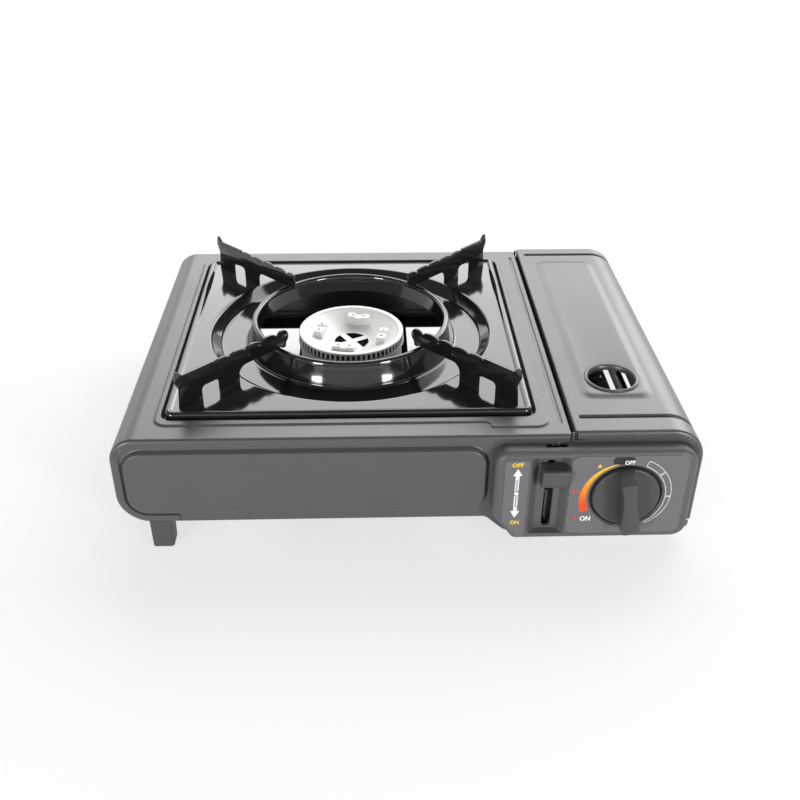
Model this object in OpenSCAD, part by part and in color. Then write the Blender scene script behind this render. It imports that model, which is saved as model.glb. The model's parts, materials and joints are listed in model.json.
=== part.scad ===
// Portable gas stove with a side compartment for a gas cartridge.
// Millimetres, +Z up, front towards -Y, origin on the table at the middle of the footprint.

/* [Body] */
// Height of the deck above the table
deck_z = 79; // [77.4:0.2:84.4]
// Height of the body's underside above the table
under_z = 20.4; // [19:0.2:23]
// Thickness of the painted sheet steel
sheet = 0.8; // [0.6:0.1:1]
// Radius between the deck and the left wall
deck_r = 15; // [10:1:18]
// Radius between the left wall and the bottom lip
lip_r = 19; // [12:1:22]
// Length of the bottom lip under the left wall
lip_l = 35.5; // [32:0.5:45]
// Width of the return flange round the open ends of the body
flange_w = 5; // [4:0.5:6]
// Width of the inward flange along the foot of the front and rear sheets
foot_flange_w = 16; // [10:1:20]
// Height of the raised field on the front sheet
front_field_h = 2.4; // [1:0.2:3]
// Gap between each end sheet and the flange in front of it
seam_gap = 0.2; // [0.1:0.05:0.4]

/* [Feet] */
// Side of each tall foot under the left lip
tall_foot_w = 13; // [9:0.5:14]
// Diameter of each low foot under the cartridge pan
low_foot_d = 14; // [10:0.5:18]
// Distance of the feet from the ends of the body
foot_inset = 1; // [1:0.5:20]

/* [Drip tray] */
// Side of the square drip tray
tray_side = 215; // [200:1:230]
// Deck left of the tray
tray_left = 29.2; // [27:0.2:34]
// Deck right of the tray
tray_right = 19.6; // [18:0.2:22]
// Deck in front of the tray
tray_front = 21.5; // [20:0.5:26]
// Deck behind the tray
tray_rear = 21.5; // [20:0.5:26]
// Height of the tray's flat above the deck
tray_rise = 2.2; // [1.6:0.2:3]
// Thickness of the enamelled sheet
tray_t = 0.9; // [0.7:0.1:1.2]
// Depth of the skirt below the tray's flat
tray_skirt = 7.4; // [6:0.2:9]
// Gap round the tray in the deck
tray_gap = 2.2; // [1.5:0.1:3]
// Width of the rolled rim round the tray
rim_w = 5; // [4:0.5:7]
// Height of the rolled rim above the tray's flat
rim_h = 1.8; // [1:0.1:2.5]
// Flat between the dish's upper edge and the tray's side
dish_margin = 14.2; // [13:0.2:18]
// Depth of the dish
dish_deep = 6.8; // [5:0.2:8]
// Radius of the collar at its bead, middle of the bead
collar_r = 63.6; // [60:0.2:66]
// Radius of the bead on the collar
bead_r = 2.1; // [1.6:0.1:2.6]
// Height of the bead's top above the tray's flat
bead_top = 9.6; // [8:0.2:11]
// Depth of the collar's inner wall below the tray's flat
collar_drop = 3; // [2:0.2:5]

/* [Pan supports] */
// Thickness of the support arms
arm_t = 1.6; // [1.2:0.1:2]
// Height of the arm's plain top edge above the tray's flat
arm_top = 21.2; // [19:0.2:23]
// Distance of the arm's outer end from the tray's sides
arm_edge = 8.1; // [7.6:0.1:10]
// Reach of the arm's inner end inside the collar
arm_over = 8.1; // [7:0.1:9]
// Height of the horn at the outer end above the tray's flat
horn_top = 24.5; // [23:0.25:26]
// Number of scallops on the top edge
scallops = 4; // [3:1:5]
// Length of one scallop
scallop_pitch = 12.1; // [11:0.1:12.4]
// Depth of the notches between scallops
scallop_deep = 1.8; // [1:0.1:2.5]

/* [Burner] */
// Radius of the burner head at its rim
burner_r = 35.1; // [33:0.1:37]
// Depth of the burner head's rim below the tray's flat
burner_low = 1.5; // [1:0.1:3]
// Width of the flat rim of the burner head
burner_rim_w = 3; // [2:0.1:4]
// Depth of the dished top at its centre
burner_dish = 9.5; // [7:0.5:11]
// Wall of the burner casting
burner_wall = 2; // [1.6:0.1:2.6]
// Number of flame slots round the head
flame_slots = 64; // [48:1:72]
// Width of a flame slot
flame_slot_w = 1.6; // [1.2:0.1:1.8]
// Height of a flame slot
flame_slot_h = 4.2; // [3:0.1:5]
// Number of raised port blocks on the dished top
port_blocks = 4; // [3:1:4]
// Distance of the port blocks from the burner's axis
port_block_r = 21.5; // [20:0.5:23]
// Turn of the port blocks from the stove's axes, degrees
port_turn = -13; // [-20:1:20]
// Depth of the burner cup below the head
cup_deep = 15; // [12:0.5:18]
// Radius of the post under the burner cup
post_r = 12; // [11:0.5:14]
// Width of the strap that carries the burner
strap_w = 83; // [76:1:88]
// Thickness of the strap
strap_t = 1.2; // [1:0.1:1.6]

/* [Gas line] */
// Direction of the mixing tube from the burner, degrees
mix_turn = -35; // [-38:0.5:-33]
// Depth of the mixing tube's axis below the cone of the burner cup
mix_drop = 9.1; // [9:0.1:10]
// Outer radius of the mixing tube
mix_r = 7.5; // [7:0.25:8.5]
// Bore radius of the mixing tube
mix_bore_r = 6.2; // [5.5:0.1:6.4]
// Distance of the mixing tube's inlet from the partition
inlet_gap = 27.1; // [25:0.1:32]
// Radius of the flared inlet of the mixing tube
mix_flare_r = 9.5; // [9:0.25:10.5]
// Radius of the gas pipe
pipe_r = 2.5; // [2:0.1:3]
// Radius of the ignition lead
lead_r = 1.25; // [1:0.05:1.5]
// Radius of the regulator body
regulator_r = 17; // [15:0.5:18]
// Length of the regulator behind the front sheet
regulator_l = 28; // [26:0.5:30]
// Radius of the diaphragm cover
cover_r = 12; // [10:0.5:12.5]
// Radius of the inlet nozzle where it enters the cartridge
nozzle_r = 2.2; // [1.8:0.1:2.6]
// Radius of the ceramic sleeve on the electrode
insulator_r = 3; // [2.5:0.1:3.5]
// Radius of the electrode wire
electrode_r = 0.8; // [0.6:0.05:1]

/* [Cartridge compartment] */
// Height of the compartment's floor above the table
pan_z = 9.4; // [8.4:0.2:9.8]
// Radius of the cartridge that the compartment takes
cartridge_r = 33.5; // [32:0.5:34]
// Width of the long slot in the compartment's floor
pan_slot_w = 4; // [3:0.5:6]
// Thickness of the pusher's steel
pusher_t = 1; // [0.8:0.1:1.2]
// Width of the pusher's strip
pusher_w = 12; // [8:0.5:14]
// Height of the tab that pushes the cartridge's base
pusher_tab_h = 34; // [24:1:40]
// Gap between the pusher's tab at rest and the rear sheet
pusher_rear_gap = 14; // [10:1:20]

/* [Lid] */
// Width of the lid
lid_w = 76.3; // [74:0.1:78]
// Height of the lid's top above the deck
lid_rise = 2; // [1.6:0.1:3]
// Gap between the deck and the lid
lid_gap = 1.9; // [1.5:0.1:4]
// Radius between the lid's top and its right wall
lid_r = 20; // [14:1:22]
// Height of the lid's lower edge above the table
lid_under_z = 16.4; // [15.4:0.5:17.4]
// Height of the lid's raised field
lid_field_h = 1.2; // [0.8:0.1:1.6]
// Radius of the pressed grooves across the lid
lid_groove_r = 1.8; // [1.2:0.1:2.2]
// Radius of the finger hole
finger_r = 12.5; // [11:0.25:13.5]
// Radius of the rolled edge round the finger hole
finger_roll = 3; // [2:0.25:3.5]
// Distance of the hinge axis from the lid's right wall
hinge_in = 4.6; // [4.4:0.1:5]
// Height of the hinge axis above the table
hinge_z = 21; // [20.4:0.1:22.4]
// Radius of the hinge pins
hinge_pin_r = 1.5; // [1.2:0.1:1.8]

/* [Control panel] */
// Width of the panel left of the lever's well
panel_left = 20.6; // [19:0.2:23]
// How far the panel stands out from the body's front flange
panel_proud = 9.5; // [8.5:0.25:11]
// Height of the panel's lower edge above the table
panel_low_z = 10.4; // [10.2:0.2:11.8]
// Wall of the panel moulding
panel_wall = 2; // [1.6:0.1:2.4]
// Depth of the lever's well in the panel
well_deep = 5; // [4.5:0.25:5.5]
// Width of the lever's slot
slot_w = 5.4; // [5:0.1:6]
// Thickness of the printed films on the panel
film_t = 0.3; // [0.2:0.05:0.4]

/* [Knob] */
// Radius of the knob's disc
knob_r = 19.7; // [18:0.1:20.5]
// Gap between the knob's disc and its recess
knob_gap = 1.2; // [0.8:0.1:1.5]
// Depth of the knob's recess in the panel
knob_sink = 3; // [2.5:0.25:3.5]
// How far the grip stands out from the panel's face
knob_proud = 13; // [11:0.5:15]
// Width of the grip at its ends
grip_w = 10.4; // [9:0.1:12]
// Narrowing of the grip at its waist, each side
grip_waist = 0.9; // [0.4:0.1:1.5]
// Distance of the knob's axis from the lid's right wall
knob_in = 45.2; // [44:0.2:46]
// Height of the knob's axis above the table
knob_z = 42.3; // [40.4:0.1:43.4]
// Radius of the valve spindle
spindle_r = 3; // [2.5:0.1:3.5]
// Clearance of the spindle in the regulator
spindle_gap = 0.06; // [0.02:0.01:0.1]

/* [Lock lever] */
// Width of the button's front
button_w = 15.6; // [14:0.2:15.8]
// Height of the button at its back
button_h = 15; // [12:0.5:17]
// How far the button stands out of the well's floor
button_proud = 9.5; // [7:0.5:11]
// Downward travel of the button
lever_travel = 22; // [18:0.5:24]
// Forward travel of the pusher for the whole travel of the button
pusher_travel = 6.6; // [5:0.2:8]
// Thickness of the cam plate
cam_t = 1.6; // [1.2:0.1:2]
// Radius of the cam rod
rod_r = 2; // [1.6:0.1:2.4]
// Clearance of sliding and turning pieces
run_gap = 0.3; // [0.25:0.05:0.4]
// Clearance of pins in their holes
pin_gap = 0.05; // [0.02:0.01:0.1]

/* [Hidden] */
$fn = 48;
eps = 0.01;
slot_flat = 0.1;
stove_w = tray_left + tray_side + tray_right + lid_gap + lid_w;
body_d = tray_front + tray_side + tray_rear;
left_x = -stove_w / 2;
right_x = stove_w / 2;
overall_d = body_d + panel_proud + knob_proud;
rear_y = overall_d / 2;
front_y = rear_y - body_d;
front_sheet_y = front_y + sheet + seam_gap;
rear_sheet_y = rear_y - sheet - seam_gap;
in_front_y = front_sheet_y + sheet;
in_rear_y = rear_sheet_y - sheet;
panel_face_y = front_y - panel_proud;

// The lid and the edge of the deck beside it
lid_x = right_x - lid_w;
lid_z = deck_z + lid_rise;
deck_x = lid_x - lid_gap;
lid_wall_x = right_x - sheet;
edge_lip = 6;
hinge_x = right_x - hinge_in;
ear_r = 4.5;
swing_r = norm([hinge_in, hinge_z - lid_under_z]);
field_cx = lid_x + 32;
field_w = 45.5;
field_front = 34;
field_rear = 25;
field_y0 = front_y + field_front;
field_y1 = rear_y - field_rear;
finger_y = front_y + 56.5;
groove_front_y = front_y + 16;
groove_rear_y = rear_y - 12;

// The tray, the raised part of the deck round it and the ledge under its skirt
tray_x = left_x + tray_left + tray_side / 2;
tray_y = front_y + tray_front + tray_side / 2;
tray_z = deck_z + tray_rise;
dish_r = tray_side / 2 - dish_margin;
arm_reach = sqrt(2) * (tray_side / 2 - arm_edge);
arm_inner = collar_r - arm_over;
plateau_h = 1;
plateau_side = 6.3;
plateau_end = 8.3;
plateau_r = 9;
corner_w = 36;
corner_d = 33;
corner_right = 3.2;
corner_front = 5.7;
ledge_z = tray_z - tray_skirt - seam_gap;
ledge_hole = 2 * (dish_r + 3);
tray_corner_r = 5;
deck_groove_w = 3.4;
deck_groove_h = 0.9;

// The burner under the tray's middle
head_top_z = tray_z - burner_low;
head_low_z = head_top_z - 2 - flame_slot_h;
strap_z = under_z + sheet;
head_floor_r = 12;
window_r0 = 3;
window_r1 = 11;
block_l = 14;
block_w = 5.5;
pinhole_r = 0.8;
pinhole_step = 7;
pinhole_l = 3;
slope_top = -0.8;
cup_r = burner_r - 1;
cup_low_z = head_low_z - cup_deep;
cup_cone_h = 7;
mix_z = cup_low_z - cup_cone_h - mix_drop;
mix_start = post_r + 5;
jet_l = 11;
screw_r = 1.7;

// The electrode in front of the burner
electrode_turn = -80;
electrode_x = burner_r + 6;
insulator_l = 20;
insulator_z = head_low_z - 5 - insulator_l;
electrode_tip_gap = 2.5;

// The partition, the compartment and the cartridge's axis
shield_x = deck_x - sheet - 4.2;
chamber_x = shield_x + sheet;
mix_l = (shield_x - tray_x - inlet_gap) / cos(mix_turn);
pan_top_z = pan_z + sheet;
cart_x = (chamber_x + lid_wall_x) / 2;
cart_z = pan_top_z + 2 + cartridge_r;
pan_slot_x = right_x - 11.5;
pan_edge_x = right_x - 1.2;
pan_lip = 4;
rib_half_gap = 50;

// Lever, cam and pusher
slot_x = shield_x - 6.4;
slot_low_z = 16.8;
slot_top_z = 65.3;
lever_z = 57.4;
tongue_h = 8;
rod_y = in_front_y + pusher_travel + 10;
rod_z = lever_z - 16;
cam_margin = 3;
upstand_x = chamber_x + 16;
strip_x = upstand_x + pusher_t - pusher_w;
strip_z = pan_top_z + run_gap;
tab_y = in_rear_y - pusher_rear_gap;
tab_x = cart_x + 16;

// Regulator between the knob and the cartridge
knob_x = right_x - knob_in;
regulator_back_y = in_front_y + regulator_l;
outlet_y = in_front_y + 18;
outlet_z = cart_z + 9;
outlet_l = 21;
outlet_r = 4.5;
locator_t = 1.2;
locator_r = 20;
seat_r = 4.8;
base_t = 2;
base_w = 46;
cover_y = in_front_y + (base_t + regulator_l) / 2;
igniter_w = 10;
igniter_x = cart_x - base_w / 2 - 0.8 - igniter_w;
igniter_z = rod_z + rod_r + 9;
igniter_h = 16;
igniter_d = 12;
igniter_lead_z = igniter_z + igniter_h - 6;
lead_stub_l = 4;

// Control panel
panel_right_x = right_x - flange_w - 0.4;
panel_top_z = deck_z - flange_w - 0.4;
panel_slope = 2.5;
panel_corner_r = 9;
panel_cut_w = 13;
panel_cut_h = 18;
well_x0 = slot_x - 12.1;
well_x1 = slot_x + 10.6;
panel_x = well_x0 - panel_left;
well_low_z = panel_low_z + 4.6;
well_top_z = panel_top_z - 3.8;
well_slope = 4.8;
well_floor_y = panel_face_y + well_deep;
notch_x = slot_x + 2.6;
turn_x = panel_x + 3.3;
end_pad_r = 13;
end_pad_slope = 3;
notch_w = 13;
notch_h = 4;
panel_screw_r = 2.6;
film_gap = 1.1;
film_x0 = panel_x + 5.4;
film_low_z = panel_low_z + 3;
film_top_z = panel_top_z - 4.9;
film_right_x = right_x - 11;
dial_low_z = panel_low_z + 5;
dial_top_z = panel_top_z - 2.8;
knob_recess_r = knob_r + knob_gap;
knob_front_y = panel_face_y - knob_proud;

body_grey = [0.32, 0.32, 0.34];
enamel_black = [0.05, 0.05, 0.05];
plastic_grey = [0.22, 0.22, 0.23];
alloy = [0.78, 0.77, 0.74];
zinc = [0.62, 0.63, 0.64];
brass = [0.72, 0.58, 0.28];
foot_black = [0.12, 0.12, 0.12];

// Extrudes a profile drawn in X and Z from y0 to y1.
module along_y(y0, y1) {
    translate([0, y1, 0]) rotate([90, 0, 0]) linear_extrude(y1 - y0) children();
}

// Extrudes a profile drawn in Y and Z from x0 to x1.
module along_x(x0, x1) {
    translate([x0, 0, 0]) rotate([90, 0, 90]) linear_extrude(x1 - x0) children();
}

// A block between two opposite corners.
module block(low, high) {
    translate(low) cube(high - low);
}

// A round bar along Y from y0 to y1.
module bar_y(x, z, y0, y1, r) {
    translate([x, y1, z]) rotate([90, 0, 0]) cylinder(h = y1 - y0, r = r);
}

// A round bar along X from x0 to x1.
module bar_x(y, z, x0, x1, r) {
    translate([x0, y, z]) rotate([0, 90, 0]) cylinder(h = x1 - x0, r = r);
}

// A rectangle with round corners, about the origin.
module rounded_2d(w, h, r) {
    square([w - 2 * r, h], center = true);
    square([w, h - 2 * r], center = true);
    for (x = [-1, 1], y = [-1, 1]) translate([x * (w / 2 - r), y * (h / 2 - r)]) circle(r);
}

// The rectangle x0..x1, z0..z1 with its two left corners rounded, or square where a radius is 0.
module left_round_2d(x0, x1, z0, z1, top_r, low_r) {
    big = max(top_r, low_r);
    translate([x0 + big, z0]) square([x1 - x0 - big, z1 - z0]);
    translate([x0, z0 + low_r]) square([big, z1 - z0 - low_r - top_r]);
    if (top_r > 0) translate([x0 + top_r, z1 - top_r]) {
        circle(top_r);
        square([big - top_r + eps, top_r]);
    }
    if (low_r > 0) translate([x0 + low_r, z0]) {
        translate([0, low_r]) circle(low_r);
        square([big - low_r + eps, low_r]);
    }
}

// A pressed field: w by d at its foot, drawn in by slope at its top, with a straight foot below.
module pad(w, d, r, h, slope, foot = 0) {
    module section(half) {
        polygon(foot > 0
            ? [[-half, -foot], [half, -foot], [half, 0], [half - slope, h], [slope - half, h], [-half, 0]]
            : [[-half, 0], [half, 0], [half - slope, h], [slope - half, h]]);
    }
    module corner() {
        rotate_extrude() polygon(foot > 0
            ? [[0, -foot], [r, -foot], [r, 0], [r - slope, h], [0, h]]
            : [[0, 0], [r, 0], [r - slope, h], [0, h]]);
    }
    rotate([90, 0, 90]) linear_extrude(w - 2 * r, center = true) section(d / 2);
    rotate([90, 0, 0]) linear_extrude(d - 2 * r, center = true) section(w / 2);
    for (x = [-1, 1], y = [-1, 1]) translate([x * (w / 2 - r), y * (d / 2 - r), 0]) corner();
}

// Points of a smooth curve through the given points, n steps between neighbours.
function curve_point(p, i, t) =
    let (a = p[max(i - 1, 0)], b = p[i], c = p[i + 1], d = p[min(i + 2, len(p) - 1)])
    0.5 * (2 * b + (c - a) * t + (2 * a - 5 * b + 4 * c - d) * t * t + (3 * b - a - 3 * c + d) * t * t * t);
function curve(p, n) = concat(
    [for (i = [0 : len(p) - 2], k = [0 : n - 1]) curve_point(p, i, k / n)], [p[len(p) - 1]]);
function unit(v) = v / norm(v);
function heading(p, i) = unit(p[min(i + 1, len(p) - 1)] - p[max(i - 1, 0)]);
function across(v, t) = unit(v - (v * t) * t);

// A round tube of the given radius along a list of points.
module tube_along(p, r, sides = 8) {
    count = len(p);
    start = abs(heading(p, 0)[2]) < 0.9 ? [0, 0, 1] : [1, 0, 0];
    sideways = [for (i = 0, v = across(start, heading(p, 0)); i < count;
        i = i + 1, v = i < count ? across(v, heading(p, i)) : v) v];
    rings = [for (i = [0 : count - 1], k = [0 : sides - 1])
        let (u = sideways[i], w = cross(heading(p, i), u))
        p[i] + r * (cos(360 * k / sides) * u + sin(360 * k / sides) * w)];
    walls = [for (i = [0 : count - 2], k = [0 : sides - 1])
        let (a = i * sides + k, b = i * sides + (k + 1) % sides)
        each [[a, a + sides, b], [b, a + sides, b + sides]]];
    low_end = [for (k = [1 : sides - 2]) [0, k, k + 1]];
    top = (count - 1) * sides;
    high_end = [for (k = [1 : sides - 2]) [top, top + k + 1, top + k]];
    polyhedron(concat(rings, []), concat(walls, low_end, high_end));
}

// Outline of the bent sheet that makes deck, left wall and lip, drawn in by inset.
module shell_outline(inset, x1) {
    left_round_2d(left_x + inset, x1, under_z + inset, deck_z - inset, deck_r - inset, lip_r - inset);
}

// The bent strip of the shell, as wide as the given inset.
module shell_band(width) {
    difference() {
        shell_outline(0, deck_x);
        shell_outline(width, deck_x + 1);
        translate([left_x + lip_l, under_z - 1]) square([stove_w, (deck_z - under_z) / 2]);
    }
}

// The raised part of the deck, with its wider front right corner.
module plateau(foot) {
    w = tray_side + 2 * plateau_side;
    d = tray_side + 2 * plateau_end;
    corner_x = w / 2 + corner_right - corner_w / 2;
    corner_y = -d / 2 - corner_front + corner_d / 2;
    translate([tray_x, tray_y, 0]) {
        pad(w, d, plateau_r, plateau_h, plateau_h, foot);
        translate([corner_x, corner_y, 0]) pad(corner_w, corner_d, plateau_r, plateau_h, plateau_h, foot);
    }
}

// Bent steel shell: deck with the tray's opening, left wall, bottom lip and return flanges.
module body_shell() {
    opening = tray_side + 2 * tray_gap;
    opening_r = tray_corner_r + tray_gap;
    groove_y0 = front_y + 12;
    groove_y1 = rear_y - 12;
    groove_x = deck_x - 4.6;
    color(body_grey) difference() {
        union() {
            along_y(front_y, rear_y) shell_band(sheet);
            along_y(front_y, front_y + sheet) shell_band(flange_w);
            along_y(rear_y - sheet, rear_y) shell_band(flange_w);
            block([deck_x - sheet, front_sheet_y, deck_z - edge_lip], [deck_x, rear_sheet_y, deck_z - eps]);
            translate([0, 0, deck_z]) plateau(eps);
            translate([tray_x, tray_y, ledge_z - sheet])
                linear_extrude(deck_z + plateau_h / 2 - ledge_z + sheet)
                rounded_2d(opening + 2 * sheet, opening + 2 * sheet, opening_r + sheet);
            translate([groove_x, (groove_y0 + groove_y1) / 2, deck_z - sheet]) mirror([0, 0, 1])
                pad(deck_groove_w + 2 * sheet, groove_y1 - groove_y0, deck_groove_w / 2 + sheet - slot_flat,
                    deck_groove_h, deck_groove_h, eps);
        }
        difference() {
            translate([0, 0, deck_z - sheet]) plateau(deck_groove_h);
            translate([tray_x, tray_y, ledge_z - 1]) linear_extrude(deck_z)
                rounded_2d(opening + 2 * sheet, opening + 2 * sheet, opening_r + sheet);
        }
        translate([tray_x, tray_y, ledge_z])
            linear_extrude(deck_z) rounded_2d(opening, opening, opening_r);
        translate([tray_x, tray_y, under_z])
            linear_extrude(deck_z) rounded_2d(ledge_hole, ledge_hole, plateau_r);
        translate([groove_x, (groove_y0 + groove_y1) / 2, deck_z]) mirror([0, 0, 1])
            pad(deck_groove_w, groove_y1 - groove_y0 - 2 * sheet, deck_groove_w / 2 - slot_flat,
                deck_groove_h, deck_groove_h, eps);
    }
}

// Outline of the sheets that close the front and rear, drawn in X and Z.
module end_outline() {
    gap = sheet + seam_gap;
    lip_end = left_x + lip_l + seam_gap;
    turn_r = (under_z - pan_z) / 2;
    top_z = lid_z - sheet - run_gap;
    left_round_2d(left_x + gap, deck_x - gap, under_z + gap, deck_z - gap, deck_r - gap, lip_r - gap);
    translate([lip_end, under_z]) square([turn_x - lip_end, gap + eps]);
    translate([turn_x - turn_r, under_z - turn_r]) difference() {
        square(turn_r + eps);
        circle(turn_r);
    }
    difference() {
        mirror([1, 0])
            left_round_2d(run_gap - lid_wall_x, -turn_x - turn_r, pan_z, top_z, lid_r - sheet - run_gap, 3);
        translate([turn_x, deck_z - gap]) square([deck_x + run_gap - turn_x, lid_z]);
        translate([deck_x - gap, deck_z - edge_lip - seam_gap]) square([gap + seam_gap, lid_z]);
        translate([lid_x - run_gap, lid_z - edge_lip - run_gap]) square([sheet + edge_lip, lid_z]);
        translate([hinge_x, hinge_z]) difference() {
            circle(ear_r + 3);
            circle(hinge_in - sheet - run_gap);
            translate([-2 * ear_r, 0]) square(4 * ear_r);
        }
    }
    left_round_2d(turn_x, turn_x + 2 * turn_r, pan_z, under_z + eps, 0, turn_r);
}

// The sheet, its raised field and its foot flange, facing -Y with its outer face at y = 0.
module end_sheet(field_h) {
    pad_x0 = left_x + 5.5;
    pad_x1 = panel_x - 2.2;
    pad_z0 = under_z + 6;
    pad_z1 = deck_z - flange_w - 1.6;
    pad_cx = (pad_x0 + pad_x1) / 2;
    pad_cz = (pad_z0 + pad_z1) / 2;
    foot_x0 = left_x + lip_l + 1;
    foot_x1 = turn_x - 11;
    difference() {
        union() {
            along_y(0, sheet) end_outline();
            translate([pad_cx, eps, pad_cz]) rotate([90, 0, 0])
                pad(pad_x1 - pad_x0, pad_z1 - pad_z0, end_pad_r, field_h + eps, end_pad_slope);
            block([foot_x0, sheet - eps, under_z], [foot_x1, foot_flange_w, under_z + sheet]);
        }
        translate([pad_cx, sheet, pad_cz]) rotate([90, 0, 0])
            pad(pad_x1 - pad_x0, pad_z1 - pad_z0, end_pad_r, field_h, end_pad_slope, 1);
        bar_y(hinge_x, hinge_z, -1, sheet + 1, hinge_pin_r + eps);
    }
}

// Front sheet, with its raised field and the openings behind the control panel.
module front_panel() {
    color(body_grey) difference() {
        translate([0, front_sheet_y, 0]) end_sheet(front_field_h);
        bar_y(knob_x, knob_z, front_y, in_front_y + 1, spindle_r + 4);
        along_y(front_y, in_front_y + 1)
            translate([slot_x, (slot_low_z + slot_top_z) / 2])
            square([slot_w + 2, slot_top_z - slot_low_z], center = true);
        regulator_screw_places() bar_y(0, 0, front_y, in_front_y + 1, screw_r);
        bar_y(notch_x, panel_screw_z(), front_y, in_front_y + 1, screw_r);
    }
}

// Rear sheet, the mirror image of the front one without its openings.
module rear_panel() {
    color(body_grey) translate([0, rear_sheet_y, 0]) mirror([0, 1, 0]) end_sheet(sheet + seam_gap);
}

// Height of the screw in the notch at the top of the control panel.
function panel_screw_z() = deck_z - flange_w - seam_gap - panel_screw_r;

// Partition between the burner and the cartridge, with holes for rod, pipe and lead.
module heat_shield() {
    rod_hole = rod_r + run_gap;
    top_z = deck_z - sheet - deck_groove_h - seam_gap;
    color(zinc) difference() {
        block([shield_x, in_front_y, pan_z], [chamber_x, in_rear_y, top_z]);
        for (y = [rod_y, rod_y - pusher_travel]) bar_x(y, rod_z, shield_x - 1, chamber_x + 1, rod_hole);
        block([shield_x - 1, rod_y - pusher_travel, rod_z - rod_hole],
            [chamber_x + 1, rod_y, rod_z + rod_hole]);
        bar_x(pipe_cross()[1], pipe_cross()[2], shield_x - 1, chamber_x + 1, 3 * pipe_r);
        bar_x(lead_cross()[1], lead_cross()[2], shield_x - 1, chamber_x + 1, 3 * lead_r);
    }
}

// Floor of the cartridge compartment with its long slot, saddle ribs and turned-up edge.
module cartridge_pan() {
    rib_x0 = strip_x + pusher_w + 8;
    rib_x1 = pan_slot_x - pan_slot_w / 2 - 3;
    rib_cx = (rib_x0 + rib_x1) / 2;
    rib_w = 9;
    rib_h = 1.2;
    mid_y = (in_front_y + in_rear_y) / 2;
    color(zinc) difference() {
        union() {
            block([chamber_x, in_front_y, pan_z], [pan_edge_x, in_rear_y, pan_top_z]);
            block([pan_edge_x - sheet, in_front_y, pan_z], [pan_edge_x, in_rear_y, pan_z + pan_lip]);
            for (s = [-1, 1]) translate([rib_cx, mid_y + s * rib_half_gap, pan_top_z])
                pad(rib_x1 - rib_x0, rib_w, 4, rib_h, rib_h, eps);
        }
        for (s = [-1, 1]) translate([rib_cx, mid_y + s * rib_half_gap, pan_z])
            pad(rib_x1 - rib_x0, rib_w, 4, rib_h, rib_h, 1);
        translate([pan_slot_x, mid_y, pan_z - 1]) linear_extrude(sheet + 2)
            rounded_2d(pan_slot_w, in_rear_y - in_front_y - 30, pan_slot_w / 2 - slot_flat);
    }
}

// Two tall feet under the left lip.
module tall_feet() {
    lap = 2.3;
    foot_x = left_x + lip_r + tall_foot_w / 2 - lap;
    inset = foot_inset + tall_foot_w / 2;
    color(foot_black) for (y = [front_y + inset, rear_y - inset]) translate([foot_x, y, 0])
        linear_extrude(under_z) rounded_2d(tall_foot_w, tall_foot_w, 1.5);
}

// Two low round feet under the cartridge pan.
module low_feet() {
    foot_x = cart_x - 8;
    inset = 20;
    edge = 1.5;
    color(foot_black) for (y = [in_front_y + inset, in_rear_y - inset]) translate([foot_x, y, 0]) {
        cylinder(h = edge, r1 = low_foot_d / 2 - edge, r2 = low_foot_d / 2);
        translate([0, 0, edge]) cylinder(h = pan_z - edge, r = low_foot_d / 2);
    }
}

// Wide strap across the open bottom that carries the burner.
module burner_strap() {
    rib_w = 6;
    rib_l = tray_side - 60;
    rib_h = 1.5;
    mid_y = (in_front_y + in_rear_y) / 2;
    x0 = tray_x - strap_w / 2;
    x1 = tray_x + strap_w / 2;
    color(enamel_black) difference() {
        union() {
            block([x0, in_front_y, strap_z], [x1, in_rear_y, strap_z + strap_t]);
            for (s = [-1, 1]) translate([tray_x + s * strap_w / 3, mid_y, strap_z + strap_t])
                pad(rib_w, rib_l, 2.5, rib_h, rib_h, eps);
        }
        for (s = [-1, 1]) translate([tray_x + s * strap_w / 3, mid_y, strap_z])
            pad(rib_w, rib_l, 2.5, rib_h, rib_h, 1);
        burner_screw_places() translate([0, 0, strap_z - 1]) cylinder(h = strap_t + 2, r = screw_r);
    }
}

// Places of the two screws that hold the burner's post to the strap.
module burner_screw_places() {
    for (a = [60, 240]) translate([tray_x, tray_y, 0]) rotate([0, 0, a])
        translate([post_r - 4, 0, 0]) children();
}

// Two pan head screws from below into the burner's post.
module burner_screws() {
    color(zinc) burner_screw_places() {
        translate([0, 0, strap_z - 1.8]) cylinder(h = 1.8, r = 3);
        translate([0, 0, strap_z - eps]) cylinder(h = strap_t + 5, r = screw_r - eps);
    }
}

// Cast burner cup on its post, open at the top, with a boss and bore for the mixing tube.
module burner_cup() {
    post_top_z = cup_low_z - cup_cone_h;
    base_z = strap_z + strap_t;
    edge_h = 1.5;
    edge_r = burner_r + 0.4;
    throat_r = post_r - 3;
    throat_z = mix_z - mix_r;
    color(alloy) translate([tray_x, tray_y, 0]) difference() {
        union() {
            rotate_extrude() polygon([[0, base_z], [post_r, base_z], [post_r, post_top_z],
                [cup_r, cup_low_z], [cup_r, head_low_z - edge_h], [edge_r, head_low_z - edge_h],
                [edge_r, head_low_z], [0, head_low_z]]);
            rotate([0, 0, mix_turn]) bar_x(0, mix_z, 0, mix_start, mix_r + 1.5);
        }
        rotate_extrude() polygon([[0, throat_z], [throat_r, throat_z], [throat_r, post_top_z + burner_wall],
            [cup_r - burner_wall, cup_low_z], [cup_r - burner_wall, head_low_z + 1], [0, head_low_z + 1]]);
        rotate([0, 0, mix_turn]) bar_x(0, mix_z, 0, mix_start + 1, mix_bore_r);
        translate([-tray_x, -tray_y, 0]) burner_screw_places()
            translate([0, 0, base_z - 1]) cylinder(h = 7, r = screw_r);
    }
}

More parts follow.
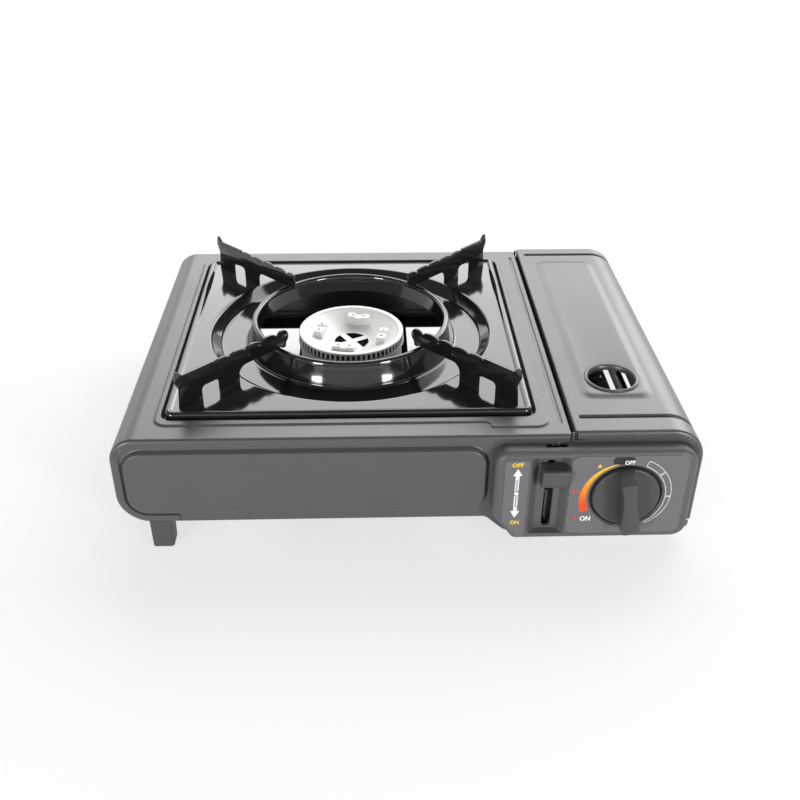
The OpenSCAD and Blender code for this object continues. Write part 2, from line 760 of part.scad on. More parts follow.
// Cast burner head: slotted rim, dished top, spokes with windows between and raised port blocks.
module burner_head() {
    rim_in = burner_r - burner_rim_w;
    edge = 0.6;
    window_turn = 360 / port_blocks;
    color(alloy) translate([tray_x, tray_y, head_top_z]) difference() {
        union() {
            rotate_extrude() polygon([[0, -burner_dish], [head_floor_r, -burner_dish], [rim_in, slope_top],
                [rim_in + edge, 0], [burner_r - edge, 0], [burner_r, -edge],
                [burner_r, head_low_z - head_top_z],
                [rim_in, head_low_z - head_top_z], [rim_in, slope_top - burner_wall],
                [head_floor_r, -burner_dish - burner_wall], [0, -burner_dish - burner_wall]]);
            for (i = [0 : port_blocks - 1]) rotate([0, 0, port_turn + i * window_turn]) port_block();
        }
        for (i = [0 : flame_slots - 1]) rotate([0, 0, i * 360 / flame_slots])
            translate([rim_in + 0.8, -flame_slot_w / 2, head_low_z - head_top_z - 1])
            cube([burner_rim_w, flame_slot_w, flame_slot_h + 1]);
        for (i = [0 : port_blocks - 1]) rotate([0, 0, port_turn + i * window_turn]) {
            window();
            for (k = [-1, 1]) translate([port_block_r, k * pinhole_step / 2, -pinhole_l])
                cylinder(h = pinhole_l + 1, r = pinhole_r);
        }
    }
}

// One raised block with its two pinholes, on the +X side.
module port_block() {
    low = -burner_dish;
    intersection() {
        translate([port_block_r, 0, low]) linear_extrude(-low - 0.6) rounded_2d(block_w, block_l, 1.2);
        rotate_extrude() polygon([[0, low - eps], [head_floor_r, low - eps],
            [burner_r - burner_rim_w, slope_top - eps], [burner_r - burner_rim_w, 1], [0, 1]]);
    }
}

// One window between the spokes of the dished top, on the +X side.
module window() {
    spoke = 3;
    half = 180 / port_blocks;
    reach = 2 * window_r1;
    translate([0, 0, -burner_dish - burner_wall - 1]) linear_extrude(burner_wall + 2) intersection() {
        difference() {
            circle(window_r1);
            circle(window_r0);
        }
        translate([spoke / sin(half) / 2, 0]) polygon([[0, 0], [reach * cos(half), -reach * sin(half)],
            [reach * cos(half), reach * sin(half)]]);
    }
}

// Tube that mixes gas and air, with its flared inlet and air holes.
module mixing_tube() {
    flare_l = 14;
    color(alloy) translate([tray_x, tray_y, mix_z]) rotate([0, 90, mix_turn]) difference() {
        union() {
            translate([0, 0, mix_start]) cylinder(h = mix_l - mix_start - flare_l, r = mix_r);
            translate([0, 0, mix_l - flare_l]) cylinder(h = flare_l / 2, r1 = mix_r, r2 = mix_flare_r);
            translate([0, 0, mix_l - flare_l / 2]) cylinder(h = flare_l / 2, r = mix_flare_r);
        }
        cylinder(h = mix_l - flare_l, r = mix_bore_r);
        translate([0, 0, mix_l - flare_l - eps])
            cylinder(h = flare_l / 2, r1 = mix_bore_r, r2 = mix_flare_r - 1.4);
        translate([0, 0, mix_l - flare_l / 2 - 2 * eps]) cylinder(h = flare_l, r = mix_flare_r - 1.4);
        translate([0, 0, mix_l - flare_l / 4]) for (a = [0, 90]) rotate([0, 0, a]) rotate([90, 0, 0])
            cylinder(h = 3 * mix_flare_r, r = 2, center = true);
    }
}

// Brass jet that closes the tube's inlet and carries the gas pipe.
module gas_jet() {
    plate_t = 2;
    color(brass) translate([tray_x, tray_y, mix_z]) rotate([0, 90, mix_turn])
        translate([0, 0, mix_l]) {
            cylinder(h = plate_t, r = mix_flare_r);
            translate([0, 0, -6]) cylinder(h = 6 + eps, r1 = 1.2, r2 = 3);
            translate([0, 0, plate_t - eps]) cylinder(h = jet_l - plate_t + eps, r = pipe_r + 1.5);
        }
}

// A point on the mixing tube's axis, at a distance from the burner's axis.
function mix_point(l) = [tray_x + l * cos(mix_turn), tray_y + l * sin(mix_turn), mix_z];

// Where the gas pipe and the ignition lead pass the partition.
function pipe_cross() = [chamber_x, mix_point(mix_l)[1] - 20, mix_z + 5];
function lead_cross() = [chamber_x, rod_y + rod_r + cam_margin + 8, igniter_lead_z];

// Gas pipe from the regulator's outlet through the partition to the jet.
module gas_pipe() {
    out = [cart_x - outlet_l, outlet_y, outlet_z];
    route = [mix_point(mix_l + jet_l), mix_point(mix_l + jet_l + 3), mix_point(mix_l + jet_l + 6),
        pipe_cross() + [-4, 2, -1], pipe_cross() + [6, -4, 2], out + [-6, 0, 0], out + [-3, 0, 0], out];
    color(alloy) tube_along(curve(route, 4), pipe_r, 12);
}

// Die cast regulator with the spindle's bore in front and the outlet on its left.
module regulator_body() {
    base_h = 42;
    color(zinc) difference() {
        union() {
            along_y(in_front_y, in_front_y + base_t) translate([cart_x, cart_z - 2])
                rounded_2d(base_w, base_h, 5);
            bar_y(cart_x, cart_z, in_front_y + base_t - eps, regulator_back_y, regulator_r);
            bar_x(outlet_y, outlet_z, cart_x - outlet_l, cart_x, outlet_r);
            bar_x(cover_y, cart_z, cart_x, cart_x + regulator_r, cover_r - 4);
        }
        bar_y(knob_x, knob_z, in_front_y - 1, in_front_y + 16, spindle_r + spindle_gap);
        regulator_screw_places() bar_y(0, 0, in_front_y - 1, in_front_y + base_t + 6, screw_r);
    }
}

// Round diaphragm cover on the regulator's right side.
module regulator_cover() {
    color(zinc) {
        bar_x(cover_y, cart_z, cart_x + regulator_r, cart_x + regulator_r + 3, cover_r);
        bar_x(cover_y, cart_z, cart_x + regulator_r + 3 - eps, cart_x + regulator_r + 7, cover_r - 4);
    }
}

// Places of the screws that hold the regulator to the front sheet, on their axes.
module regulator_screw_places() {
    for (p = [[-18, 14], [18, -18]]) translate([cart_x + p[0], 0, cart_z + p[1]]) children();
}

// Two screws through the front sheet into the regulator.
module regulator_screws() {
    color(zinc) regulator_screw_places() {
        bar_y(0, 0, front_sheet_y - 1.8, front_sheet_y, 3);
        bar_y(0, 0, front_sheet_y - eps, in_front_y + 6, screw_r - eps);
    }
}

// Brass nozzle that enters the cartridge's valve.
module inlet_nozzle() {
    color(brass) {
        bar_y(cart_x, cart_z, regulator_back_y, regulator_back_y + 4, seat_r);
        bar_y(cart_x, cart_z, regulator_back_y + 4 - eps, regulator_back_y + 9, nozzle_r);
    }
}

// Rubber seal round the nozzle.
module inlet_seal() {
    color([0.1, 0.1, 0.1]) translate([cart_x, regulator_back_y + 4, cart_z]) rotate([-90, 0, 0])
        rotate_extrude() translate([nozzle_r, 0]) square([2, 2]);
}

// Steel plate behind the regulator with the tab that finds the cartridge's notch.
module cartridge_locator() {
    tab_w = 7;
    tab_l = 7;
    color(zinc) difference() {
        union() {
            bar_y(cart_x, cart_z, regulator_back_y, regulator_back_y + locator_t, locator_r);
            block([cart_x - tab_w / 2, regulator_back_y, cart_z + 13],
                [cart_x + tab_w / 2, regulator_back_y + tab_l, cart_z + 13 + locator_t]);
        }
        bar_y(cart_x, cart_z, regulator_back_y - 1, regulator_back_y + locator_t + 1, seat_r + 0.2);
    }
}

// Plastic case of the spark igniter behind the front sheet.
module igniter_box() {
    color([0.1, 0.1, 0.11]) {
        along_y(in_front_y, in_front_y + igniter_d)
            translate([igniter_x + igniter_w / 2, igniter_z + igniter_h / 2])
            rounded_2d(igniter_w, igniter_h, 2);
        bar_y(igniter_x + igniter_w / 2, igniter_lead_z, in_front_y + igniter_d - eps,
            in_front_y + igniter_d + lead_stub_l, lead_r + 1);
    }
}

// A point beside the burner at the electrode's angle.
function electrode_point(r, z) =
    [tray_x + r * cos(electrode_turn), tray_y + r * sin(electrode_turn), z];

// Insulated lead from the igniter through the partition to the foot of the electrode.
module ignition_lead() {
    foot = electrode_point(electrode_x, insulator_z);
    start = [igniter_x + igniter_w / 2, in_front_y + igniter_d + lead_stub_l, igniter_lead_z];
    far = lead_cross() + [-20, 0, -4];
    near = foot + [14, -18, -10];
    route = [start, start + [0, 2, 0], start + [0, 4, 0], lead_cross() + [2, -1, 0],
        lead_cross() + [-5, 0, -1], far, (far + near) / 2 + [0, -6, -3], near, foot + [3, -5, -11],
        foot + [0, 0, -6], foot + [0, 0, -3], foot];
    color([0.75, 0.72, 0.66]) tube_along(curve(route, 4), lead_r, 8);
}

// Ceramic sleeve of the electrode.
module electrode_insulator() {
    color([0.92, 0.91, 0.88]) translate(electrode_point(electrode_x, insulator_z)) {
        cylinder(h = insulator_l, r = insulator_r);
        translate([0, 0, insulator_l * 0.55]) cylinder(h = 2.5, r = insulator_r + 1);
    }
}

// Electrode wire, bent over towards the flame slots.
module electrode_pin() {
    top = insulator_z + insulator_l;
    rise = 4;
    bend = 2;
    reach = electrode_x - burner_r - electrode_tip_gap - bend;
    color(zinc) translate(electrode_point(electrode_x, top)) rotate([0, 0, electrode_turn + 180]) {
        cylinder(h = rise, r = electrode_r);
        translate([bend, 0, rise]) rotate([90, 0, 0]) rotate([0, 0, 90]) rotate_extrude(angle = 90)
            translate([bend, 0]) circle(electrode_r);
        bar_x(0, rise + bend, bend, bend + reach, electrode_r);
    }
}

// Steel tab that holds the electrode's sleeve to the burner cup.
module electrode_bracket() {
    bracket_t = 1.2;
    z = insulator_z + insulator_l * 0.55 - bracket_t;
    color(zinc) difference() {
        translate([tray_x, tray_y, z]) rotate([0, 0, electrode_turn]) union() {
            translate([electrode_x, 0, 0]) cylinder(h = bracket_t, r = insulator_r + 2);
            block([cup_r - 0.5, -4, 0], [electrode_x, 4, bracket_t]);
        }
        translate([tray_x, tray_y, z - 1]) cylinder(h = bracket_t + 2, r = cup_r);
        translate(electrode_point(electrode_x, z - 1)) cylinder(h = bracket_t + 2, r = insulator_r + eps);
    }
}

// The panel's outer form between its face and its back, with the cut lower left corner.
module panel_form(wall, y0, y1) {
    x0 = panel_x + wall;
    x1 = panel_right_x - wall;
    z0 = panel_low_z + wall;
    z1 = panel_top_z - wall;
    inward = wall * unit([panel_cut_h, panel_cut_w]);
    high = [panel_x, panel_low_z + panel_cut_h] + inward;
    low = [panel_x + panel_cut_w, panel_low_z] + inward;
    difference() {
        translate([(x0 + x1) / 2, y0 + panel_slope, (z0 + z1) / 2]) rotate([90, 0, 0])
            pad(x1 - x0, z1 - z0, panel_corner_r - wall, panel_slope, panel_slope, y1 - y0 - panel_slope);
        along_y(y0 - 1, y1 + 1)
            polygon([2 * high - low, [2 * high[0] - low[0], 2 * low[1] - high[1]], 2 * low - high]);
    }
}

// Moulded control panel: open back, lever well with its slot, knob recess and screw notch.
module control_panel() {
    back_y = front_sheet_y;
    color(plastic_grey) difference() {
        union() {
            difference() {
                panel_form(0, panel_face_y, back_y);
                panel_form(panel_wall, panel_face_y + panel_wall, back_y + 1);
            }
            intersection() {
                panel_form(0, panel_face_y, back_y);
                union() {
                    block([well_x0 - panel_wall, panel_face_y + 1, well_low_z - panel_wall],
                        [well_x1 + panel_wall, well_floor_y + panel_wall, well_top_z + panel_wall]);
                    bar_y(knob_x, knob_z, panel_face_y + 1, panel_face_y + knob_sink + panel_wall,
                        knob_recess_r + panel_wall);
                }
            }
        }
        translate([0, 0, well_low_z]) linear_extrude(well_top_z - well_low_z) polygon([
            [well_x0 + well_slope, well_floor_y], [well_x0, panel_face_y], [well_x0, panel_face_y - 1],
            [well_x1, panel_face_y - 1], [well_x1, panel_face_y], [well_x1 - well_slope, well_floor_y]]);
        along_y(panel_face_y, back_y) translate([slot_x, (slot_low_z + slot_top_z) / 2])
            rounded_2d(slot_w, slot_top_z - slot_low_z, slot_w / 2 - slot_flat);
        bar_y(knob_x, knob_z, panel_face_y - 1, panel_face_y + knob_sink, knob_recess_r);
        translate([knob_x, panel_face_y + 1, knob_z]) rotate([90, 0, 0])
            cylinder(h = 1 + eps, r1 = knob_recess_r, r2 = knob_recess_r + 1);
        bar_y(knob_x, knob_z, panel_face_y, back_y + 1, spindle_r + 3);
        along_y(back_y - 5, back_y + 1) translate([notch_x, panel_top_z])
            rounded_2d(notch_w, 2 * notch_h, notch_h - slot_flat);
        bar_y(hinge_x, hinge_z, front_y - run_gap, back_y + 1, swing_r + run_gap);
        along_y(front_y - run_gap, back_y + 1) difference() {
            translate([right_x - lid_r - flange_w, hinge_z]) square([lid_r + flange_w, lid_z]);
            lid_outline(flange_w + run_gap, lid_x);
        }
    }
}

// Printed film left of the lever.
module lever_film() {
    x1 = well_x0 - film_gap;
    cut_w = 0.62 * (x1 - film_x0);
    cut_h = cut_w * panel_cut_h / panel_cut_w;
    color([0.24, 0.24, 0.25]) along_y(panel_face_y - film_t, panel_face_y) polygon([
        [film_x0, film_low_z + cut_h], [film_x0 + cut_w, film_low_z], [x1, film_low_z], [x1, film_top_z],
        [film_x0, film_top_z]]);
}

// Printed film round the knob.
module dial_film() {
    x0 = well_x1 + 0.3;
    color([0.3, 0.3, 0.31]) along_y(panel_face_y - film_t, panel_face_y) difference() {
        translate([(x0 + film_right_x) / 2, (dial_low_z + dial_top_z) / 2])
            rounded_2d(film_right_x - x0, dial_top_z - dial_low_z, 5);
        translate([knob_x, knob_z]) circle(knob_recess_r + 1 + 0.4);
    }
}

// Screw in the notch at the top of the panel.
module panel_screw() {
    color(zinc) {
        bar_y(notch_x, panel_screw_z(), front_sheet_y - 2, front_sheet_y, panel_screw_r);
        bar_y(notch_x, panel_screw_z(), front_sheet_y - eps, in_front_y + 5, screw_r - eps);
    }
}

// Folded steel guide behind the front sheet in which the cam plate slides.
module lever_guide() {
    rail_t = 1.2;
    rail_in = cam_t / 2 + run_gap;
    rail_d = 7;
    z0 = rod_z - lever_travel - cam_margin - rod_r;
    z1 = rod_z + lever_travel + cam_margin + rod_r;
    color(zinc) for (s = [0, 1]) translate([slot_x, 0, 0]) mirror([s, 0, 0]) {
        block([rail_in, in_front_y, z0], [rail_in + rail_t, in_front_y + rail_d, z1]);
        block([rail_in, in_front_y, z0], [slot_w / 2 + 3, in_front_y + 1, z1]);
    }
}

// Two rivets on which the lid turns, one in each end sheet.
module hinge_pins() {
    head_r = 2.6;
    head_t = 1.2;
    color(zinc) {
        bar_y(hinge_x, hinge_z, front_y, in_front_y + eps, hinge_pin_r);
        bar_y(hinge_x, hinge_z, in_front_y, in_front_y + head_t, head_r);
        bar_y(hinge_x, hinge_z, in_rear_y - eps, rear_y, hinge_pin_r);
        bar_y(hinge_x, hinge_z, in_rear_y - head_t, in_rear_y, head_r);
    }
}

// Cross section of the lid, drawn in by inset.
module lid_outline(inset, x0) {
    mirror([1, 0])
        left_round_2d(-right_x + inset, -x0, lid_under_z - inset, lid_z - inset, lid_r - inset, 0);
}

// The bent strip of the lid, as wide as the given inset.
module lid_band(width) {
    difference() {
        lid_outline(0, lid_x);
        lid_outline(width, lid_x - 1);
    }
}

// A round-bottomed groove over the lid's top and round its corner, at the given radius.
module lid_groove(y, r) {
    x0 = lid_x + 6;
    x1 = right_x - lid_r;
    z0 = lid_z - lid_r - 14;
    bar_x(y, lid_z, x0, x1 + eps, r);
    translate([x0, y, lid_z]) sphere(r);
    translate([x1, y, lid_z - lid_r]) rotate([90, 0, 0]) rotate_extrude(angle = 90)
        translate([lid_r, 0]) circle(r);
    translate([right_x, y, z0]) cylinder(h = lid_z - lid_r - z0 + eps, r = r);
    translate([right_x, y, z0]) sphere(r);
}

// Hinged lid over the cartridge: top, right wall, flanges, raised field, grooves and finger hole.
module cartridge_lid() {
    field_d = field_y1 - field_y0;
    field_cy = (field_y0 + field_y1) / 2;
    field_z = lid_z + lid_field_h;
    color(body_grey) difference() {
        union() {
            along_y(front_y, rear_y) lid_band(sheet);
            along_y(front_y, front_y + sheet) lid_band(flange_w);
            along_y(rear_y - sheet, rear_y) lid_band(flange_w);
            block([lid_x, front_y, lid_z - edge_lip], [lid_x + sheet, rear_y, lid_z - eps]);
            for (y = [front_y, rear_y - sheet]) bar_y(hinge_x, hinge_z, y, y + sheet, ear_r);
            translate([field_cx, field_cy, lid_z]) pad(field_w, field_d, 4, lid_field_h, 2, eps);
            intersection() {
                for (y = [groove_front_y, groove_rear_y]) lid_groove(y, lid_groove_r + sheet);
                along_y(front_y, rear_y) lid_outline(0, lid_x);
            }
            translate([field_cx, finger_y, field_z]) finger_roll();
        }
        translate([field_cx, field_cy, lid_z - sheet]) difference() {
            pad(field_w, field_d, 4, lid_field_h, 2, 1);
            translate([0, finger_y - field_cy, -2]) cylinder(h = 8, r = finger_r + finger_roll);
        }
        for (y = [groove_front_y, groove_rear_y]) lid_groove(y, lid_groove_r);
        for (y = [front_y, rear_y - sheet])
            bar_y(hinge_x, hinge_z, y - 1, y + sheet + 1, hinge_pin_r + pin_gap);
        translate([field_cx, finger_y, lid_z - 6]) cylinder(h = 12, r = finger_r);
        translate([field_cx, finger_y, field_z]) rotate_extrude() difference() {
            translate([finger_r - 1, -finger_roll]) square([finger_roll + 1, finger_roll + 1]);
            translate([finger_r + finger_roll, -finger_roll]) circle(finger_roll);
        }
        translate([field_cx, finger_y, field_z - 2 * finger_roll]) difference() {
            cylinder(h = 2 * finger_roll - sheet, r = finger_r + finger_roll + eps);
            finger_keep();
        }
    }
}

// Ring of metal from which the rolled edge of the finger hole is cut, below the field's top.
module finger_roll() {
    translate([0, 0, -finger_roll]) cylinder(h = finger_roll, r = finger_r + finger_roll + eps);
}

// The rolled edge itself, which the room under the lid leaves standing.
module finger_keep() {
    translate([0, 0, finger_roll]) rotate_extrude() difference() {
        translate([finger_r + finger_roll, 0]) circle(finger_roll + eps);
        translate([finger_r + finger_roll, 0]) circle(finger_roll - sheet);
        translate([finger_r, -2 * finger_roll]) square([3 * finger_roll, 2 * finger_roll]);
        translate([finger_r + finger_roll, -2 * finger_roll]) square(4 * finger_roll);
    }
}

// Control knob: disc in the panel's recess with a waisted grip bar across it.
module control_knob() {
    disc_y0 = panel_face_y - 1.2;
    disc_y1 = panel_face_y + knob_sink - run_gap;
    grip_l = 2 * knob_r - 1;
    bow_r = (grip_l * grip_l / 4 + grip_waist * grip_waist) / (2 * grip_waist);
    color([0.1, 0.1, 0.1]) difference() {
        union() {
            bar_y(knob_x, knob_z, disc_y0, disc_y1, knob_r);
            intersection() {
                translate([knob_x, disc_y0 + eps, knob_z]) rotate([90, 0, 0])
                    linear_extrude(disc_y0 + eps - knob_front_y) difference() {
                        square([grip_w, grip_l], center = true);
                        for (s = [-1, 1]) translate([s * (grip_w / 2 - grip_waist + bow_r), 0])
                            circle(bow_r, $fn = 96);
                    }
                along_x(knob_x - grip_w, knob_x + grip_w) polygon([
                    [disc_y0 + 1, knob_z - grip_l / 2], [disc_y0 + 1, knob_z + grip_l / 2],
                    [disc_y0 - 3, knob_z + grip_l / 2], [knob_front_y, knob_z + grip_l / 2 - 5],
                    [knob_front_y, knob_z - grip_l / 2 + 2], [knob_front_y + 2, knob_z - grip_l / 2]]);
            }
            bar_y(knob_x, knob_z, disc_y1 - eps, disc_y1 + 4, spindle_r + 2);
        }
        bar_y(knob_x, knob_z, panel_face_y - 4, disc_y1 + 5, spindle_r);
    }
}

// Valve spindle that the knob turns in the regulator.
module valve_spindle() {
    color(brass) bar_y(knob_x, knob_z, panel_face_y - 4, in_front_y + 15.5, spindle_r);
}

// Plastic button of the lock lever: a sloped ribbed top, its right flank clear of the well's slope.
module lock_button() {
    back_y = well_floor_y - run_gap;
    front_y1 = back_y - button_proud;
    top_z = lever_z - 1 + button_h / 2;
    low_z = top_z - button_h;
    right = slot_x + 9.6;
    left = right - button_w;
    flank_gap = 2 * run_gap;
    steep = well_deep / well_slope;
    foot = well_x1 - well_slope + run_gap / steep - flank_gap;
    brow = 1.5;
    slope_h = 9;
    lip = 3;
    rib_step = 1.5;
    rib_w = 0.6;
    color(plastic_grey) {
        intersection() {
            along_x(left - 1, right + 1) polygon([[back_y, low_z], [back_y, top_z], [back_y - brow, top_z],
                [front_y1, top_z - slope_h], [front_y1, low_z + lip], [front_y1 + lip, low_z]]);
            translate([0, 0, low_z - 1]) linear_extrude(button_h + 2) polygon([[left, back_y],
                [left, front_y1 - 1], [right, front_y1 - 1], [right, back_y - (right - foot) * steep],
                [foot, back_y]]);
        }
        for (i = [-4 : 4]) translate([(left + right) / 2 + i * rib_step - rib_w / 2, back_y - brow, top_z])
            rotate([atan2(slope_h, button_proud - brow), 0, 0])
            translate([0, -slope_h, -rib_w + 0.1]) cube([rib_w, 5.5, rib_w + 0.3]);
    }
}

// Steel cam plate on the button's tongue, with the sloped slot for the rod.
module cam_plate() {
    y0 = in_front_y + 1.2;
    y1 = rod_y + rod_r + cam_margin;
    z0 = rod_z - rod_r - cam_margin;
    z1 = rod_z + lever_travel + rod_r + cam_margin;
    slot_l = norm([lever_travel, pusher_travel]);
    slot_a = atan2(pusher_travel, lever_travel);
    color(zinc) translate([slot_x, 0, 0]) difference() {
        union() {
            along_x(-cam_t / 2, cam_t / 2) translate([(y0 + y1) / 2, (z0 + z1) / 2])
                rounded_2d(y1 - y0, z1 - z0, 2);
            block([-cam_t / 2, well_floor_y - run_gap, lever_z - tongue_h / 2],
                [cam_t / 2, y0 + 3, lever_z + tongue_h / 2]);
        }
        translate([0, rod_y, rod_z]) rotate([slot_a, 0, 0]) along_x(-cam_t, cam_t) {
            circle(rod_r + pin_gap);
            translate([0, slot_l]) circle(rod_r + pin_gap);
            translate([-rod_r - pin_gap, 0]) square([2 * (rod_r + pin_gap), slot_l]);
        }
    }
}

// Pusher: strip along the compartment's floor, upstand for the rod and tab behind the cartridge.
module cartridge_pusher() {
    y0 = rod_y - rod_r - 4;
    half = rod_r + 4;
    color(zinc) difference() {
        union() {
            block([strip_x, y0, strip_z], [strip_x + pusher_w, tab_y, strip_z + pusher_t]);
            block([upstand_x, y0, strip_z], [upstand_x + pusher_t, y0 + 2 * half, rod_z + half]);
            along_y(tab_y - pusher_t, tab_y) translate([(strip_x + tab_x) / 2, strip_z + pusher_tab_h / 2])
                rounded_2d(tab_x - strip_x, pusher_tab_h, 3);
            block([strip_x, tab_y - pusher_t, strip_z], [strip_x + pusher_w, tab_y, strip_z + 4]);
        }
        bar_x(rod_y, rod_z, upstand_x - 1, upstand_x + pusher_t + 1, rod_r + eps);
    }
}

// Rod that carries the cam's motion through the partition to the pusher.
module cam_rod() {
    color(zinc) bar_x(rod_y, rod_z, slot_x - cam_t / 2 - 1.5, upstand_x + pusher_t + 1, rod_r);
}

// Enamelled drip tray: rolled rim and skirt, square flat, round dish and raised collar with its bead.
module drip_tray() {
    flat_side = tray_side - 2 * rim_w;
    floor_r = dish_r - dish_deep;
    collar_out = collar_r + bead_r;
    foot_r = collar_out + 3.5;
    bead_z = bead_top - bead_r;
    color(enamel_black) translate([tray_x, tray_y, tray_z]) {
        difference() {
            pad(tray_side, tray_side, tray_corner_r, rim_h, rim_h, tray_skirt);
            translate([0, 0, rim_h + eps]) mirror([0, 0, 1])
                pad(flat_side + 2 * rim_h, flat_side + 2 * rim_h, tray_corner_r, rim_h + eps, rim_h, eps);
            translate([0, 0, -tray_t]) difference() {
                pad(tray_side - 2 * tray_t, tray_side - 2 * tray_t, tray_corner_r - tray_t, rim_h, rim_h,
                    tray_skirt);
                translate([0, 0, rim_h + eps]) mirror([0, 0, 1])
                    pad(flat_side + 2 * rim_h, flat_side + 2 * rim_h, tray_corner_r, rim_h + eps, rim_h, eps);
            }
            translate([0, 0, -tray_skirt]) cylinder(h = 2 * tray_skirt, r = dish_r);
        }
        rotate_extrude($fn = 96) {
            polygon([[dish_r + eps, 0], [floor_r, -dish_deep], [foot_r, -dish_deep], [collar_out, bead_z],
                [collar_out - tray_t, bead_z], [foot_r - tray_t, -dish_deep - tray_t],
                [floor_r, -dish_deep - tray_t], [dish_r + eps, -tray_t]]);
            difference() {
                translate([collar_r, bead_z]) circle(bead_r);
                translate([collar_r, bead_z]) circle(bead_r - tray_t);
                translate([collar_r - 2 * bead_r, bead_z - 4 * bead_r]) square(4 * bead_r);
            }
            translate([collar_r - bead_r, -collar_drop]) square([tray_t, bead_z + collar_drop + eps]);
        }
    }
}

// Outline of a support arm: distance from the tray's centre along X, height above the flat along Y.
module arm_outline() {
    tip_r = 4.8;
    tip_x = arm_inner + tip_r;
    scallop_x = collar_r + bead_r;
    scallop_end = scallop_x + scallops * scallop_pitch;
    base = arm_top - scallop_deep;
    gap_z = base - 0.5;
    crown_r = (scallop_pitch * scallop_pitch / 4 + scallop_deep * scallop_deep) / (2 * scallop_deep);
    seat = bead_top + eps;
    foot_in = dish_r + 2.7;
    foot_out = foot_in + 15;
    heel = foot_out + 13;
    arch_top = 8.3;
    arch_r = 6;
    hook_x = collar_r - bead_r - 0.5;
    difference() {
        union() {
            polygon([[tip_x, seat - 3], [foot_in - 15, seat - 3], [foot_in - 15, 0], [arm_reach, 0],
                [arm_reach - 1.2, arm_top - 9], [arm_reach + 1.4, horn_top - 6],
                [arm_reach + 0.4, horn_top], [arm_reach - 1, horn_top], [arm_reach - 4, arm_top],
                [scallop_end, arm_top], [scallop_end, gap_z], [tip_x, gap_z]]);
            translate([tip_x, arm_top - 0.4 - tip_r]) circle(tip_r);
            for (i = [0 : scallops - 1]) intersection() {
                translate([scallop_x + (i + 0.5) * scallop_pitch, arm_top - crown_r]) circle(crown_r);
                translate([scallop_x + i * scallop_pitch, base - 3])
                    square([scallop_pitch, scallop_deep + 4]);
            }
        }
        translate([foot_in - arm_inner, seat - arm_inner]) rounded_2d(2 * arm_inner, 2 * arm_inner, arch_r);
        translate([(foot_out + heel) / 2, 0]) rounded_2d(heel - foot_out, 2 * arch_top, 3);
    }
    polygon([[tip_x - 3, seat + 3], [tip_x - 2, seat - 1], [hook_x, seat - 1], [hook_x, seat + 3]]);
}

// One support arm at the given angle round the tray.
module support_arm(angle) {
    color(enamel_black) translate([tray_x, tray_y, tray_z]) rotate([0, 0, angle]) rotate([90, 0, 0])
        linear_extrude(arm_t, center = true) arm_outline();
}

module support_front_left() { support_arm(225); }
module support_front_right() { support_arm(315); }
module support_rear_left() { support_arm(135); }
module support_rear_right() { support_arm(45); }

body_shell();
front_panel();
rear_panel();
heat_shield();
cartridge_pan();
tall_feet();
low_feet();
burner_strap();
burner_cup();
burner_head();
burner_screws();
mixing_tube();
gas_jet();
gas_pipe();
regulator_body();
regulator_cover();
regulator_screws();
inlet_nozzle();
inlet_seal();
cartridge_locator();
igniter_box();
ignition_lead();
electrode_insulator();
electrode_pin();
electrode_bracket();
control_panel();
lever_film();
dial_film();
panel_screw();
lever_guide();
hinge_pins();
cartridge_lid();
control_knob();
valve_spindle();
lock_button();
cam_plate();
cartridge_pusher();
cam_rod();
drip_tray();
support_front_left();
support_front_right();
support_rear_left();
support_rear_right();
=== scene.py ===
"""Looks of a portable gas stove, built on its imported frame.

Sizes are in millimetres in the model's own frame and turn into metres where a mesh is made.
"""

import json
import logging
import math
from collections.abc import Callable, Iterable, Iterator, Sequence
from contextlib import contextmanager
from dataclasses import dataclass, field
from enum import Enum
from functools import partial

import bmesh
import bpy
import numpy as np
from mathutils import Matrix, Vector
from mathutils.geometry import delaunay_2d_cdt


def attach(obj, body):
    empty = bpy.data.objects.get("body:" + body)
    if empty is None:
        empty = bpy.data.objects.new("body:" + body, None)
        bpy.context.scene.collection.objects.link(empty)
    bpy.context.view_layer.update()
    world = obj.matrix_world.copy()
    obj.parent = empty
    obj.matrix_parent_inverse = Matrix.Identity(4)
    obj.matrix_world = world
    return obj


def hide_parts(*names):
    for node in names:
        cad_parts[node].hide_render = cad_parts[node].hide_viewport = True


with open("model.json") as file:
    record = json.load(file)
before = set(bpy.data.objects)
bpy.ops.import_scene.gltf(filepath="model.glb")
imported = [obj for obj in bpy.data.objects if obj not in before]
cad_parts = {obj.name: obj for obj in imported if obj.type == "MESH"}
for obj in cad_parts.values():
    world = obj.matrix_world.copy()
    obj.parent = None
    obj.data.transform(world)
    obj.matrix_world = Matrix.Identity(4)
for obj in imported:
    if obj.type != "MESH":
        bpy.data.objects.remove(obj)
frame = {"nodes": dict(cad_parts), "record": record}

MM = 0.001
# name of the mesh colour attribute that holds the burner head's painted highlight and painted shade
PAINTED_LIGHT = "tint"
MERGE_M = 2e-6
FLAT_EPS = 1e-4
Point = tuple[float, float]
Point3 = tuple[float, float, float]
Loop = list[Point]
Place = Callable[[float, float, float], Point3]
Obj = bpy.types.Object
Socket = bpy.types.NodeSocket

log = logging.getLogger("gas_stove")


class Body(Enum):
    """The moving bodies of the stove."""

    STOVE = "stove"
    LID = "lid"
    KNOB = "knob"
    LEVER = "lever"
    TRAY = "tray"


class Slot(Enum):
    """The record's material slots that new pieces use."""

    PAINT = "grey_paint"
    ENAMEL = "black_enamel"
    ALLOY = "cast_alloy"
    PLASTIC = "grey_plastic"
    BLACK_PLASTIC = "black_plastic"
    RUBBER = "black_rubber"
    ZINC = "zinc_sheet"
    FILM = "printed_film"


class Texture(Enum):
    """How a surface is finished at close range."""

    GRAIN = "grain"
    BRUSHED = "brushed"


# ---------------------------------------------------------------- outlines


